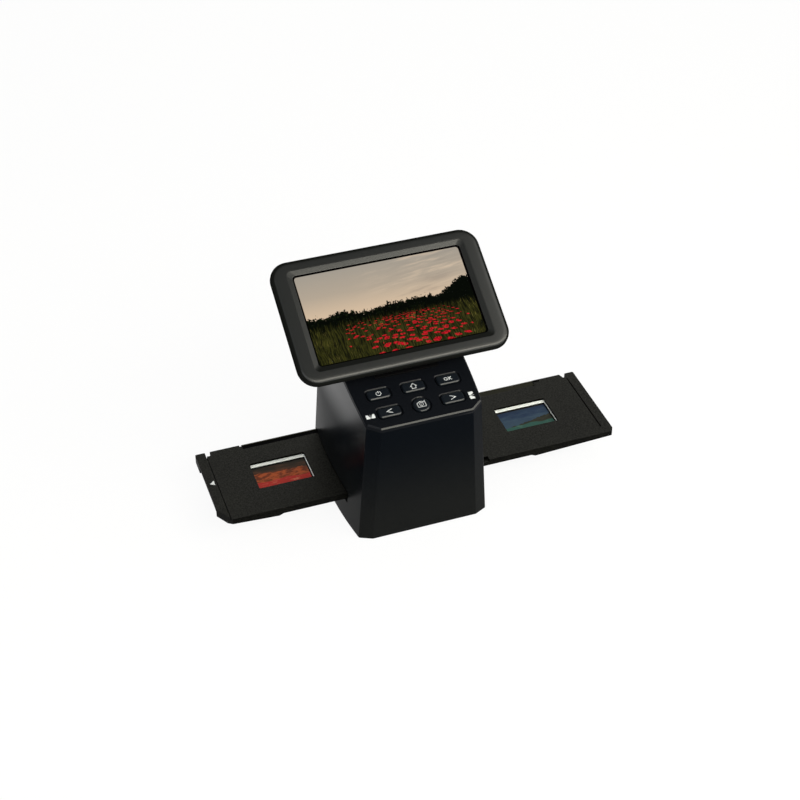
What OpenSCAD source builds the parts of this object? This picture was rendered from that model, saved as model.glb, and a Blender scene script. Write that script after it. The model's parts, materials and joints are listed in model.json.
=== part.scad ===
// Film and slide scanner: a tapered body with a sliding film holder through it,
// six keys on a sloping panel and a tilting display on top.
// Millimetres. +X is right, -Y is the front, Z = 0 is the surface the feet stand on.
// The origin lies under the middle of the body.

/* [Body] */
// Width of the body at its base, measured where it is widest
base_w = 97.4; // [92:1:110]
// Width of the body at its top, measured where it is widest
top_w = 80.2; // [74:1:90]
// Depth of the body at its base
body_d = 99; // [94:1:115]
// Height of the front face, from the shell's lower rim to the panel's front edge
body_h = 91.8; // [84:1:110]
// Width between the front corners at the base
corner_w_base = 88.2; // [80:1:96]
// Width between the front corners at the top
corner_w_top = 76; // [66:1:80]
// Width of the flat front face at the base
flat_w_base = 71.6; // [60:1:76]
// Width of the flat front face at the top
flat_w_top = 60.4; // [50:1:66]
// Depth of the front corner chamfers at the base
chamfer_base = 3.9; // [2:0.1:8]
// Depth of the front corner chamfers at the top
chamfer_top = 5.7; // [2:0.1:8]
// How far the front face leans forward at its top
front_lean = 1.15; // [0:0.05:3]
// Distance from the front face to the widest place of the sides
widest_at = 55; // [45:1:65]
// Radius of the two upright corners at the back
back_r = 4; // [3:0.5:8]
// Thickness of the body shell
wall = 2.2; // [1.6:0.1:3]
// Thickness of the base plate
base_t = 2.2; // [1.6:0.1:4]

/* [Feet] */
// Height of the rubber feet below the base plate
foot_h = 1; // [0.8:0.1:4]
// Diameter of the rubber feet
foot_d = 11; // [8:0.5:14]
// Depth of each foot's seat in the base plate
foot_seat = 0.8; // [0.4:0.1:1.2]

/* [Control panel] */
// Slope of the panel above the horizontal
panel_tilt = 12; // [8:1:15]
// Thickness of the panel
panel_t = 3; // [2.4:0.1:4]
// Width of the bevel around the panel's top
panel_bevel = 0.7; // [0.4:0.1:1.4]
// Depth of the locating lip under the panel
lip_h = 2; // [1.5:0.5:4]

/* [Keys] */
// Width of an oblong key
key_w = 15; // [12:0.5:16]
// Length of an oblong key, up the slope
key_l = 7.6; // [6:0.2:9]
// Corner radius of an oblong key
key_r = 1.8; // [1:0.1:2.4]
// Diameter of the round key in the middle
round_key_d = 12.4; // [10:0.2:13]
// Distance of the lower row of keys from the panel's front edge
row_low = 11.9; // [11:0.1:13]
// Distance of the upper row of keys from the panel's front edge
row_high = 27.1; // [26:0.1:29]
// Distance from the middle to a side key in the lower row
pitch_low = 20.9; // [19:0.1:22]
// Distance from the middle to a side key in the upper row
pitch_high = 23.1; // [20:0.1:24]
// Height of the key tops above the panel
key_proud = 0.7; // [0.6:0.1:1.5]
// Travel of a key
key_travel = 0.5; // [0.3:0.1:0.8]
// Gap between a key and its hole
key_gap = 0.25; // [0.15:0.05:0.4]
// Thickness of the collar that keeps a key in its hole
collar_t = 0.8; // [0.6:0.1:1.2]
// Width of that collar around the key
collar_w = 1; // [0.6:0.1:1.2]
// Margin of the well around each key
well_w = 1; // [0.8:0.1:1.8]
// Depth of the well
well_d = 1.2; // [0.3:0.1:1.4]

/* [Display] */
// Width of the picture area
lcd_w = 110.7; // [100:0.1:118]
// Height of the picture area
lcd_h = 62.3; // [56:0.1:68]
// Width of the display housing
display_w = 140.5; // [134:0.5:150]
// Height of the display housing
display_h = 86.5; // [82:0.5:92]
// Corner radius of the display housing
display_r = 12.5; // [8:0.5:14]
// Height of the bezel above the picture surface
bezel_rise = 2; // [1:0.1:3]
// Depth of the display housing behind the picture surface
display_back = 5.5; // [5:0.1:8]
// Thickness of the display housing's back wall
display_wall = 1.5; // [1.2:0.1:2]
// Width of the slope from the bezel's crest down to the picture
bezel_slope = 4.5; // [3:0.1:6]
// Tilt of the display's face above the horizontal
display_tilt = 29.15; // [26:0.5:34]

/* [Hinge] */
// Distance of the hinge line from the panel's front edge, up the slope
hinge_v = 45; // [44:0.5:48]
// Height of the hinge line above the panel
hinge_h = 4.6; // [4.5:0.1:6]
// Distance of the hinge line below the picture's centre, along the display
hinge_drop = 35.7; // [33:0.1:37]
// Diameter of the hinge pin
pin_d = 3; // [2:0.1:3.2]
// Thickness of the material around the hinge pin
knuckle_wall = 1.9; // [1.5:0.1:2.2]
// Length of the display's hinge barrel
barrel_l = 31.4; // [24:0.2:40]
// Thickness of the bracket's two ears
ear_t = 5; // [3:0.5:8]

/* [Film holder] */
// Length of the film holder
holder_l = 275.2; // [262:1:290]
// Depth of the film holder, front to back
holder_w = 68.7; // [66:0.5:72]
// Thickness of the closed holder
holder_t = 6.3; // [5.8:0.1:8]
// Thickness of the holder's hinged lid
lid_t = 1.6; // [1.2:0.1:2]
// Distance between two frames
frame_pitch = 58.1; // [54:0.5:60]
// Number of frames
frame_n = 4; // [4:1:4]
// Width of a frame's window
window_w = 37.5; // [36:0.1:40]
// Depth of a frame's window
window_h = 25.5; // [24:0.1:28]
// Distance from the windows' middle to the holder's back edge
window_back = 33.3; // [31:0.1:35]
// Side length of a slide mount
mount_s = 50; // [48:0.1:51]
// Thickness of a slide mount
mount_t = 1.9; // [1.2:0.1:2]
// Length of the solid strip at each end of the holder
strip_l = 6.6; // [6:0.1:8]
// Shift of the holder to the right of the body's middle
holder_shift = 8.3; // [-20:0.1:20]

/* [Film guide] */
// Height of the holder's underside above the base plate's top
holder_rise = 14.05; // [12:0.1:18]
// Gap between the holder and its guide
guide_gap = 0.3; // [0.2:0.05:0.5]
// Thickness of the guide's walls
guide_t = 1.5; // [1.2:0.1:2.5]
// Free space between the guide and the body's rear wall
rear_space = 2.5; // [1:0.5:4]
// Flare of the slot's mouth beyond the holder
slot_flare = 3.2; // [1:0.1:4]

/* [Camera] */
// Outer diameter of the lens barrel
lens_d = 14; // [12:0.5:16]
// Length of the lens barrel
lens_l = 20; // [16:1:24]
// Outer width of the light shaft
shaft_w = 48; // [46:1:52]
// Outer depth of the light shaft
shaft_d = 36; // [34:1:40]
// Thickness of the light shaft's walls
shaft_t = 1.8; // [1.4:0.1:2.4]
// Side length of the image sensor
sensor_s = 12; // [8:1:14]

/* [Electronics] */
// Thickness of the circuit boards
pcb_t = 1.6; // [1:0.2:2]
// Width of the main board
main_w = 64; // [58:1:66]
// Drop of the main board below the panel's front edge
main_drop = 12.8; // [12:0.2:16]
// Width of a USB socket
usb_w = 8.9; // [8.9:0.1:9.2]
// Height of a USB socket
usb_h = 3.2; // [3:0.1:3.4]
// Width of the card socket
card_w = 26; // [25:0.5:28]
// Height of the card socket
card_h = 2.9; // [2.8:0.1:3.4]
// Width of the video socket
video_w = 11.2; // [11:0.1:12]
// Width of the backlight's box
light_w = 46; // [44:1:50]

/* [Fits and screws] */
// Gap between fixed pieces
fit = 0.1; // [0.05:0.05:0.2]
// Radial running clearance of the hinge pin
pin_gap = 0.05; // [0.02:0.01:0.09]
// Diameter of the small screws
screw_d = 2; // [1.6:0.1:2.4]
// Diameter of the screw heads
head_d = 3.8; // [3.4:0.1:4.4]
// Height of the screw heads
head_h = 1.3; // [1:0.1:1.6]

/* [Hidden] */
$fn = 48;
eps = 0.01;
far = 400;

// Body levels and faces
front_y = -body_d/2;
back_y = body_d/2;
shell_z = foot_h;
floor_z = shell_z + base_t;
top_y = front_y - front_lean;
top_z = shell_z + body_h;
widest_y = front_y + widest_at;
top_len = (back_y - top_y)/cos(panel_tilt);
side_steps = 14;

// Film path
holder_z = floor_z + holder_rise;
axis_y = back_y - wall - rear_space - guide_t - guide_gap - window_back;
holder_back = axis_y + window_back;
holder_front = holder_back - holder_w;
guide_floor_z = holder_z - guide_gap - guide_t;
gate_z = holder_z + holder_t + guide_gap;
guide_front = holder_front - guide_gap - guide_t;
guide_back = holder_back + guide_gap + guide_t;
guide_end_gap = 0.5;
guide_l = 2*min(innerHalf(guide_front, guide_floor_z), innerHalf(guide_back, gate_z))
  - 2*guide_end_gap;
guide_post_d = 6;
guide_post_gap = 1.5;
guide_screw_x = light_w/2 + guide_post_d/2 + guide_post_gap;
guide_screw_in = 8;
guide_screw_out = 12;
guide_screw_y = [guide_front + guide_screw_in, guide_back - guide_screw_out];
guide_screw_l = 6;
guide_head_h = head_h - 0.5;
guide_head_sink = guide_head_h + 0.1;
gate_margin = 1;
spring_w = 18;
spring_d = 4;
spring_t = 0.4;
spring_seat = 0.1;

// Half width of the body's outside at depth y and height z
function bow(w, corner, yc, y) = w/2 - (w - corner)/2*pow((y - widest_y)/(yc - widest_y), 2);
function share(y, z) = (z - shell_z)/(body_h + (y - top_y)*tan(panel_tilt));
function outerHalf(y, z) =
  bow(base_w, corner_w_base, front_y + chamfer_base, y)*(1 - share(y, z))
  + bow(top_w, corner_w_top, top_y + chamfer_top, y)*share(y, z);
function innerHalf(y, z) = outerHalf(y, z) - wall;

// Camera stack, hung from the main board's level
main_z = top_z - main_drop;
gate_t = guide_t;
shaft_z = gate_z + gate_t;
flange_t = 2;
flange_w = 7;
flange_screw_in = 3;
standoff_h = 14;
standoff_d = 4.4;
sensor_drop = 8;
sensor_z = main_z - sensor_drop;
shaft_top = sensor_z - standoff_h;
shaft_cap = 3;
collar_h = 4;
collar_wall = 3;
lens_sink = 8;
lens_z = shaft_top - lens_sink;
lens_rim = 1.5;
lens_lip = 0.8;
lens_glass_d = lens_d - 2*lens_rim;
lens_glass_t = 2.1;
lens_seat = 2.4;
lens_head_h = 2.5;
lens_head_w = 1;
post_inset = 3.3;
post_x = shaft_w/2 - post_inset;
post_y = shaft_d/2 - post_inset;
post_d = 5;
sensor_gap = 1;
sensor_board_w = 2*post_x - post_d - 2*sensor_gap;
sensor_board_d = 30;
sensor_hole_in = 2.6;
sensor_hole_x = sensor_board_w/2 - sensor_hole_in;
sensor_hole_y = sensor_board_d/2 - sensor_hole_in;
sensor_h = 1.5;
sensor_screw_l = 5;

// Main board and its sockets
main_lap = 3;
main_gap = 0.4;
main_front = axis_y - shaft_d/2 - main_lap;
main_back = back_y - wall - main_gap;
main_screw_l = 6;
processor_s = 14;
processor_h = 1.4;
card_l = 27;
usb_l = 7.4;
video_l = 8;
video_h = 3.4;
card_x = 0;
usb_x = 22.5;
video_x = -22.5;
socket_reach = 0.9;
cover_in = 1;
cover_w = main_w - 2*cover_in;
cover_low = 14;
cover_high = 12;
cover_rim = 2.4;
cover_rim_t = 1.4;
cover_rim_in = 4;
cover_lap = 2;
cover_screw_in = 4;
cover_screw_up = 5;
ledge_w = 6;
ledge_d = 4;
ledge_h = 2;
ledge_gap = 0.2;

// Backlight stack
led_board_rise = 2;
led_board_z = floor_z + led_board_rise;
light_box_z = led_board_z + pcb_t;
light_d = 34;
light_post_in = 4;
light_post_d = 5;
diffuser_t = 2;
light_wall = 1.6;
light_step = 1;
led_s = 3;
led_h = 0.8;
led_pitch_x = 9.5;
led_pitch_y = 9;

// Key stack, measured down from the panel's top
collar_top = panel_t + fit;
stem_d = 4;
stem_l = collar_t + 0.7;
plunger_top = collar_top + stem_l + key_travel + 0.05;
plunger_h = 1;
plunger_d = 3.4;
switch_s = 6;
switch_h = 3.5;
key_board_top = plunger_top + plunger_h + switch_h;
key_board_t = 1.2;
key_board_w = 2*pitch_high + key_w;
key_board_rim = 2;
key_board_low = row_low - key_l/2 - key_board_rim;
key_board_high = row_high + key_l/2 + key_board_rim;
key_screw_l = 4;
boss_d = 4.4;
boss_v = (row_low + row_high)/2;
boss_u = [pitch_high/2 + 0.45, key_board_w/2 - 2.5];

// Keys: name, place across, place up the slope, round or not
key_places = [
  [-pitch_high, row_high, false], [0, row_high, false], [pitch_high, row_high, false],
  [-pitch_low, row_low, false], [0, row_low, true], [pitch_low, row_low, false]
];

// Hinge and display
knuckle_r = pin_d/2 + knuckle_wall;
hinge_gap = 0.3;
hinge_back = display_back + knuckle_r + hinge_gap;
bracket_w = barrel_l + 2*hinge_gap + 2*ear_t;
bracket_t = 1.2;
bracket_foot = 22;
bracket_foot_w = 9;
bracket_front = 6;
bracket_len = 20;
bracket_rear = bracket_len - bracket_front;
bracket_screw_v = hinge_v + 9;
bracket_boss_d = 6;
bracket_boss_h = 4;
pad_h = 1.8;
pad_d = 8;
pad_seat = 0.6;
pad_u = 26;
pad_v = top_len - 8;
parting = 3;
bezel_edge = 1.6;
layer_t = 0.15;
lip_t = 1.4;
plate_gap = 0.35;
window_t = 0.8;
lcd_t = 2.2;
lcd_margin = 3;
board_gap = 0.3;
display_pcb_t = 0.8;
display_pcb_in = 3;
display_boss_d = 5;
display_screw_x = (lcd_w/2 + lcd_margin + display_w/2)/2;
display_screw_y = display_h/2 - display_r - 1;
display_head_up = 1;
bezel_well_r = 3.5;
bezel_wall = 3;
cover_wall = 2.5;
cover_edge = 1.6;
cover_edge_h = 1.4;
barrel_neck = 5.2;

// Film holder
base_leaf_t = holder_t - lid_t - fit;
pocket_depth = mount_t + fit;
pocket_z = base_leaf_t - pocket_depth;
lid_gap = 0.2;
lid_l = holder_l - 2*strip_l - 2*lid_gap;
holder_corner = 5.2;
notch_w = 3.4;
notch_d = 4;
notch_lean = 0.7;
grip_t = 2;
grip_w = strip_l - 1.6;
grip_back = 15.7;
grip_front = holder_corner + 0.8;
notch_x = holder_l/2 - strip_l - notch_w/2;
rim_w = 4;
rim_l = frame_pitch*(frame_n - 1) + window_w;
rim_drop = 0.5;
film_t = 0.2;
film_lap = 0.7;
aperture_w = window_w - 1.8;
aperture_h = window_h - 2.3;
pocket_gap = 0.2;
film_pin_d = 1.6;
film_pin_l = 8;
hinge_boss = 4;
film_pin_y = holder_back - 7.5;
film_pin_z = base_leaf_t - 0.6;
step_end = 45;
step_x = holder_l/2 - step_end;
step_h = 1.4;
step_in = 1.6;
detent_in = 2.5;
detent_y = holder_back - detent_in;
detent_r = 1.2;
detent_w = 3;
detent_gap = 0.12;

// ---- Shared shapes ----

// One side of the body's outline, from the front flat round to the back
function sideLine(w, corner, flat, chamfer, yf, yb, r) =
  let (yc = yf + chamfer, ye = yb - r, xe = bow(w, corner, yc, ye) - r)
  concat(
    [[flat/2, yf]],
    [for (i = [0:side_steps]) let (y = yc + i*(ye - yc)/side_steps) [bow(w, corner, yc, y), y]],
    [for (a = [15:15:90]) [xe + r*cos(a), ye + r*sin(a)]]
  );
function bothSides(p) = concat(p, [for (i = [len(p) - 1:-1:0]) [-p[i][0], p[i][1]]]);

module baseOutline(inset) {
  polygon(bothSides(sideLine(base_w - 2*inset, corner_w_base - 2*inset, flat_w_base - inset,
    chamfer_base, front_y + inset, back_y - inset, max(back_r - inset, 0.5))));
}

// The top outline lies in the sloping plane, so its lengths are along the slope
module topOutline(inset) {
  polygon([for (p = bothSides(sideLine(top_w - 2*inset, corner_w_top - 2*inset,
    flat_w_top - inset, chamfer_top, top_y + inset, back_y - inset, max(back_r - inset, 0.5))))
    [p[0], (p[1] - top_y)/cos(panel_tilt)]]);
}

module onPanel() {
  translate([0, top_y, top_z]) rotate([panel_tilt, 0, 0]) children();
}

module onHinge() {
  onPanel() translate([0, hinge_v, hinge_h]) rotate([-panel_tilt, 0, 0]) children();
}

// Display frame: origin at the picture's centre, Z out of its face
module onDisplay() {
  onHinge() rotate([display_tilt, 0, 0]) translate([0, hinge_drop, hinge_back]) children();
}

module onHolder() {
  translate([holder_shift, axis_y, holder_z]) children();
}

// The body as a solid block, taken in by inset and run on past its ends
module bodyBlock(inset, below, above) {
  hull() {
    translate([0, 0, shell_z - below]) linear_extrude(eps) baseOutline(inset);
    onPanel() translate([0, above*tan(panel_tilt), above]) linear_extrude(eps) topOutline(inset);
  }
}

module roundedRect(w, h, r) {
  square([w - 2*r, h], center = true);
  square([w, h - 2*r], center = true);
  for (x = [-1, 1], y = [-1, 1]) translate([x*(w/2 - r), y*(h/2 - r)]) circle(r);
}

module plate(w, h, r, t) {
  linear_extrude(t) roundedRect(w, h, r);
}

module tube(r_out, r_in, h) {
  difference() {
    cylinder(r = r_out, h = h);
    translate([0, 0, -1]) cylinder(r = r_in, h = h + 2);
  }
}

// Pan head screw: its head's underside at Z = 0, its shank pointing down
module screw(shank) {
  difference() {
    union() {
      cylinder(d = head_d, h = head_h);
      translate([0, 0, -shank]) cylinder(d = screw_d, h = shank + eps);
    }
    for (a = [0, 90]) rotate(a) translate([0, 0, head_h])
      cube([head_d*0.62, 0.5, head_h], center = true);
  }
}

module screwHole(depth) {
  translate([0, 0, -depth]) cylinder(d = screw_d + 2*fit, h = depth + 1);
}

module corners(x, y) {
  for (i = [-1, 1], j = [-1, 1]) translate([i*x, j*y, 0]) children();
}

// ---- Body shell ----

module slotCut() {
  translate([-far/2, holder_front - guide_gap, holder_z - guide_gap])
    cube([far, holder_w + 2*guide_gap, holder_t + 2*guide_gap]);
}

// The slot's mouth widens outwards through the side wall
module slotMouth(side) {
  inner = innerHalf(holder_front, holder_z) + wall/5;
  outer = base_w/2 + 1;
  hull() {
    translate([side*inner - eps, holder_front - guide_gap, holder_z - guide_gap])
      cube([eps, holder_w + 2*guide_gap, holder_t + 2*guide_gap]);
    translate([side*outer - eps, holder_front - slot_flare, holder_z - slot_flare])
      cube([eps, holder_w + 2*slot_flare, holder_t + 2*slot_flare]);
  }
}

base_screw_front = 11;
base_screw_back = 13;
base_screw_side = 6.5;
base_screw_places = [
  [-corner_w_base/2 + base_screw_front, front_y + base_screw_front],
  [corner_w_base/2 - base_screw_front, front_y + base_screw_front],
  [-corner_w_base/2 + base_screw_side, back_y - base_screw_back],
  [corner_w_base/2 - base_screw_side, back_y - base_screw_back]
];
base_boss_h = 8;
base_boss_r = 3.2;
base_rib_l = 12;
base_rib_t = 2;
base_screw_l = base_t + base_boss_h/2;
foot_in = 11;
foot_x = 24.7;
vent_w = 2;
vent_l = 10;
vent_pitch = 6;
vent_in = 14;

module housing() {
  color("#1b1d20") difference() {
    union() {
      difference() {
        bodyBlock(0, 0, 0);
        bodyBlock(wall, 1, 1);
      }
      intersection() {
        union() {
          for (p = base_screw_places) translate([p[0], p[1], floor_z + fit]) {
            cylinder(r = base_boss_r, h = base_boss_h);
            translate([p[0] > 0 ? 0 : -base_rib_l, -base_rib_t/2, 0])
              cube([base_rib_l, base_rib_t, base_boss_h]);
          }
        }
        bodyBlock(wall/2, 0, 0);
      }
    }
    onPanel() translate([-far/2, -far/2, -panel_t]) cube([far, far, far]);
    for (p = base_screw_places) translate([p[0], p[1], floor_z + base_boss_h*0.85])
      screwHole(base_boss_h);
    slotCut();
    for (s = [-1, 1]) slotMouth(s);
    translate([-cover_w/2, back_y - wall - 1, main_z - cover_low])
      cube([cover_w, wall + 2, cover_low + cover_high]);
  }
}

// Plate that closes the back around the sockets, with a flange behind the wall
module rear_cover() {
  color("#1b1d20") difference() {
    union() {
      translate([-cover_w/2 + fit, back_y - wall, main_z - cover_low + fit])
        cube([cover_w - 2*fit, wall, cover_low + cover_high - 2*fit]);
      for (z = [-cover_low - cover_rim, cover_high - cover_lap])
        translate([-cover_w/2 + cover_rim_in, back_y - wall - fit - cover_rim_t, main_z + z])
          cube([cover_w - 2*cover_rim_in, cover_rim_t + fit, cover_rim + cover_lap]);
      for (s = [-1, 1])
        translate([s*(main_w/2 - ledge_w) - ledge_w/2, main_back - ledge_d, main_z - ledge_gap - ledge_h])
          cube([ledge_w, back_y - wall/2 - main_back + ledge_d, ledge_h]);
    }
    translate([usb_x, 0, main_z + pcb_t + usb_h/2]) socketHole(usb_w, usb_h, usb_h/2 - 0.1 + fit);
    translate([card_x, 0, main_z + pcb_t + card_h/2]) socketHole(card_w, card_h, 0.5 + fit);
    translate([video_x, 0, main_z + pcb_t + video_h/2]) socketHole(video_w, video_h, 0.5 + fit);
    for (s = [-1, 1])
      translate([s*(cover_w/2 - cover_screw_in), back_y, main_z - cover_low + cover_screw_up])
        rotate([-90, 0, 0]) coverScrewCut();
  }
}

module socketHole(w, h, r) {
  translate([0, back_y + 1, 0]) rotate([90, 0, 0]) plate(w + 2*fit, h + 2*fit, r, wall + 4);
}

module coverScrewCut() {
  translate([0, 0, -head_h]) cylinder(d = head_d + 2*fit, h = head_h + 1);
  screwHole(wall + 3);
}

module rear_cover_screws() {
  color("#8d8f93") for (s = [-1, 1])
    translate([s*(cover_w/2 - cover_screw_in), back_y - head_h, main_z - cover_low + cover_screw_up])
      rotate([-90, 0, 0]) screw(wall);
}

module base_plate() {
  color("#232528") difference() {
    union() {
      translate([0, 0, shell_z]) linear_extrude(base_t) baseOutline(wall + plate_gap);
      for (x = [-1, 1], y = guide_screw_y) translate([x*guide_screw_x, y, floor_z - eps])
        cylinder(d = guide_post_d, h = guide_floor_z - floor_z + eps);
      translate([0, axis_y, floor_z - eps])
        corners(light_w/2 - light_post_in, light_d/2 - light_post_in)
          cylinder(d = light_post_d, h = led_board_rise + eps);
    }
    for (p = base_screw_places) translate([p[0], p[1], shell_z + head_h]) mirror([0, 0, 1]) {
      cylinder(d = head_d + 2*fit, h = head_h + 1);
      screwHole(base_t);
    }
    feetPlaces() translate([0, 0, shell_z - 1]) cylinder(d = foot_d + 2*fit, h = foot_seat + 1);
    for (x = [-1, 1], y = guide_screw_y) translate([x*guide_screw_x, y, guide_floor_z])
      screwHole(guide_screw_l + 2);
    for (i = [-2:2]) translate([i*vent_pitch, front_y + vent_in, floor_z])
      cube([vent_w, vent_l, 3*base_t], center = true);
  }
}

module feetPlaces() {
  for (s = [-1, 1], y = [front_y + foot_in, back_y - foot_in]) translate([s*foot_x, y, 0])
    children();
}

module rubber_feet() {
  color("#2a2a2c") feetPlaces() cylinder(d = foot_d, h = foot_h + foot_seat);
}

module base_screws() {
  color("#8d8f93") for (p = base_screw_places) translate([p[0], p[1], shell_z + head_h])
    mirror([0, 0, 1]) screw(base_screw_l);
}

// ---- Panel and keys ----

module keyOutline(k, grow) {
  translate([k[0], k[1]]) if (k[2]) circle(d = round_key_d + 2*grow);
  else roundedRect(key_w + 2*grow, key_l + 2*grow, key_r + grow);
}

// Block whose sloping sides cut the bevel around the panel's top
module bevelBlock() {
  reach = panel_t + 1;
  hull() {
    translate([0, 0, -reach - panel_bevel]) linear_extrude(eps) topOutline(-reach);
    translate([0, 0, -eps]) linear_extrude(eps) topOutline(panel_bevel);
  }
}

module control_panel() {
  color("#1d1f22") difference() {
    union() {
      intersection() {
        bodyBlock(0, 0, 0);
        onPanel() translate([-far/2, -far/2, -panel_t]) cube([far, far, far]);
        onPanel() bevelBlock();
      }
      intersection() {
        difference() {
          bodyBlock(wall + 0.3, 0, 1);
          bodyBlock(wall + 0.3 + lip_t, 1, 2);
        }
        onPanel() translate([-far/2, -far/2, -panel_t - lip_h]) cube([far, far, lip_h + eps]);
      }
      onPanel() for (u = boss_u, s = [-1, 1]) translate([s*u, boss_v, -key_board_top])
        cylinder(d = boss_d, h = key_board_top - panel_t + eps);
      onPanel() for (s = [-1, 1])
        translate([s*bracket_foot, bracket_screw_v, -panel_t - bracket_boss_h])
          cylinder(d = bracket_boss_d, h = bracket_boss_h + eps);
    }
    onPanel() translate([0, 0, -far/4]) for (k = key_places) linear_extrude(far/2)
      keyOutline(k, key_gap);
    onPanel() translate([0, 0, -well_d]) for (k = key_places) linear_extrude(2)
      keyOutline(k, well_w);
    onPanel() for (u = boss_u, s = [-1, 1]) translate([s*u, boss_v, -key_board_top])
      mirror([0, 0, 1]) screwHole(key_screw_l);
    onPanel() for (s = [-1, 1]) translate([s*bracket_foot, bracket_screw_v, 0])
      screwHole(panel_t + 0.75*bracket_boss_h);
    onPanel() for (s = [-1, 1]) translate([s*pad_u, pad_v, -pad_seat])
      cylinder(d = pad_d + 2*fit, h = 2);
  }
}

// A key cap with its collar under the panel and a stem over its switch
module key(k) {
  color("#26282b") onPanel() {
    translate([0, 0, -collar_top - eps]) linear_extrude(collar_top + key_proud + eps)
      keyOutline(k, 0);
    translate([0, 0, -collar_top - collar_t]) linear_extrude(collar_t) keyOutline(k, collar_w);
    translate([k[0], k[1], -collar_top - stem_l]) cylinder(d = stem_d, h = stem_l);
  }
}

module power_key() { key(key_places[0]); }
module home_key() { key(key_places[1]); }
module ok_key() { key(key_places[2]); }
module left_key() { key(key_places[3]); }
module capture_key() { key(key_places[4]); }
module right_key() { key(key_places[5]); }

module key_board() {
  color("#24543a") onPanel() difference() {
    translate([0, (key_board_low + key_board_high)/2, -key_board_top - key_board_t])
      plate(key_board_w, key_board_high - key_board_low, 1.5, key_board_t);
    for (u = boss_u, s = [-1, 1]) translate([s*u, boss_v, -key_board_top])
      screwHole(key_screw_l);
  }
}

module tact_switches() {
  color("#3a3c40") onPanel() for (k = key_places) translate([k[0], k[1], -key_board_top]) {
    translate([-switch_s/2, -switch_s/2, 0]) cube([switch_s, switch_s, switch_h]);
    cylinder(d = plunger_d, h = switch_h + plunger_h);
  }
}

module key_board_screws() {
  color("#8d8f93") onPanel() for (u = boss_u, s = [-1, 1])
    translate([s*u, boss_v, -key_board_top - key_board_t]) mirror([0, 0, 1])
      screw(key_screw_l);
}

// ---- Film guide ----

module film_guide() {
  color("#17181a") difference() {
    translate([-guide_l/2, guide_front, guide_floor_z])
      cube([guide_l, guide_back - guide_front, gate_z - guide_floor_z]);
    translate([-guide_l/2 - 1, holder_front - guide_gap, guide_floor_z + guide_t])
      cube([guide_l + 2, holder_w + 2*guide_gap, far]);
    translate([0, axis_y, guide_floor_z - 1]) gateHole(guide_t + 2);
    for (x = [-1, 1], y = guide_screw_y) translate([x*guide_screw_x, y, guide_floor_z + guide_t]) {
      translate([0, 0, -guide_head_sink]) cylinder(d = head_d + 2*fit, h = head_h);
      screwHole(guide_t + 1);
    }
    translate([-spring_w/2, detent_y - spring_d/2, guide_floor_z - 1])
      cube([spring_w, spring_d, guide_t + 2]);
  }
}

module gateHole(h) {
  plate(window_w + 2*gate_margin, window_h + 2*gate_margin, 1.5*gate_margin, h);
}

module guide_screws() {
  color("#8d8f93") for (x = [-1, 1], y = guide_screw_y)
    translate([x*guide_screw_x, y, guide_floor_z + guide_t - guide_head_sink])
      difference() {
        union() {
          cylinder(d = head_d, h = guide_head_h);
          translate([0, 0, -guide_screw_l]) cylinder(d = screw_d, h = guide_screw_l + eps);
        }
        for (a = [0, 90]) rotate(a) translate([0, 0, guide_head_h])
          cube([head_d*0.6, head_d/8, guide_head_h], center = true);
      }
}

// Leaf spring in the guide's floor whose round bump clicks into the holder's notches
module detent_spring() {
  color("#b9bcc0") {
    translate([-spring_w/2 + fit, detent_y - spring_d/2 + fit, guide_floor_z + spring_seat])
      cube([spring_w - 2*fit, spring_d - 2*fit, spring_t]);
    intersection() {
      translate([0, detent_y - detent_w/2, holder_z - detent_gap - detent_r]) rotate([-90, 0, 0])
        cylinder(r = detent_r, h = detent_w);
      translate([-2*detent_r, detent_y - detent_w, guide_floor_z + spring_seat])
        cube([4*detent_r, 2*detent_w, far]);
    }
  }
}

module gate_plate() {
  color("#9a9da1") difference() {
    translate([-guide_l/2, guide_front, gate_z]) cube([guide_l, guide_back - guide_front, gate_t]);
    translate([0, axis_y, gate_z - 1]) gateHole(gate_t + 2);
    translate([0, axis_y, gate_z + gate_t])
      corners((shaft_w + flange_w)/2, shaft_d/2 - flange_screw_in) screwHole(2*gate_t);
  }
}

// ---- Backlight ----

module backlight_board() {
  color("#e6e6e0") translate([0, axis_y, led_board_z])
    plate(light_w, light_d, 1, pcb_t);
}

module backlight_leds() {
  color("#f4efcf") translate([0, axis_y, light_box_z])
    for (x = [-1.5:1:1.5], y = [-1, 0, 1]) translate([x*led_pitch_x, y*led_pitch_y, led_h/2])
      cube([led_s, led_s, led_h], center = true);
}

module light_box() {
  color("#f2f2ee") translate([0, axis_y, light_box_z]) difference() {
    plate(light_w, light_d, 1, guide_floor_z - light_box_z);
    translate([0, 0, -1])
      plate(light_w - 2*light_wall - 2*light_step, light_d - 2*light_wall - 2*light_step, 1, far);
    translate([0, 0, guide_floor_z - light_box_z - diffuser_t])
      plate(light_w - 2*light_wall, light_d - 2*light_wall, 1, far);
  }
}

module diffuser() {
  color("#fbfbf8") translate([0, axis_y, guide_floor_z - diffuser_t])
    plate(light_w - 2*light_wall - 2*fit, light_d - 2*light_wall - 2*fit, 1 - fit, diffuser_t);
}

// ---- Camera ----

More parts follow.
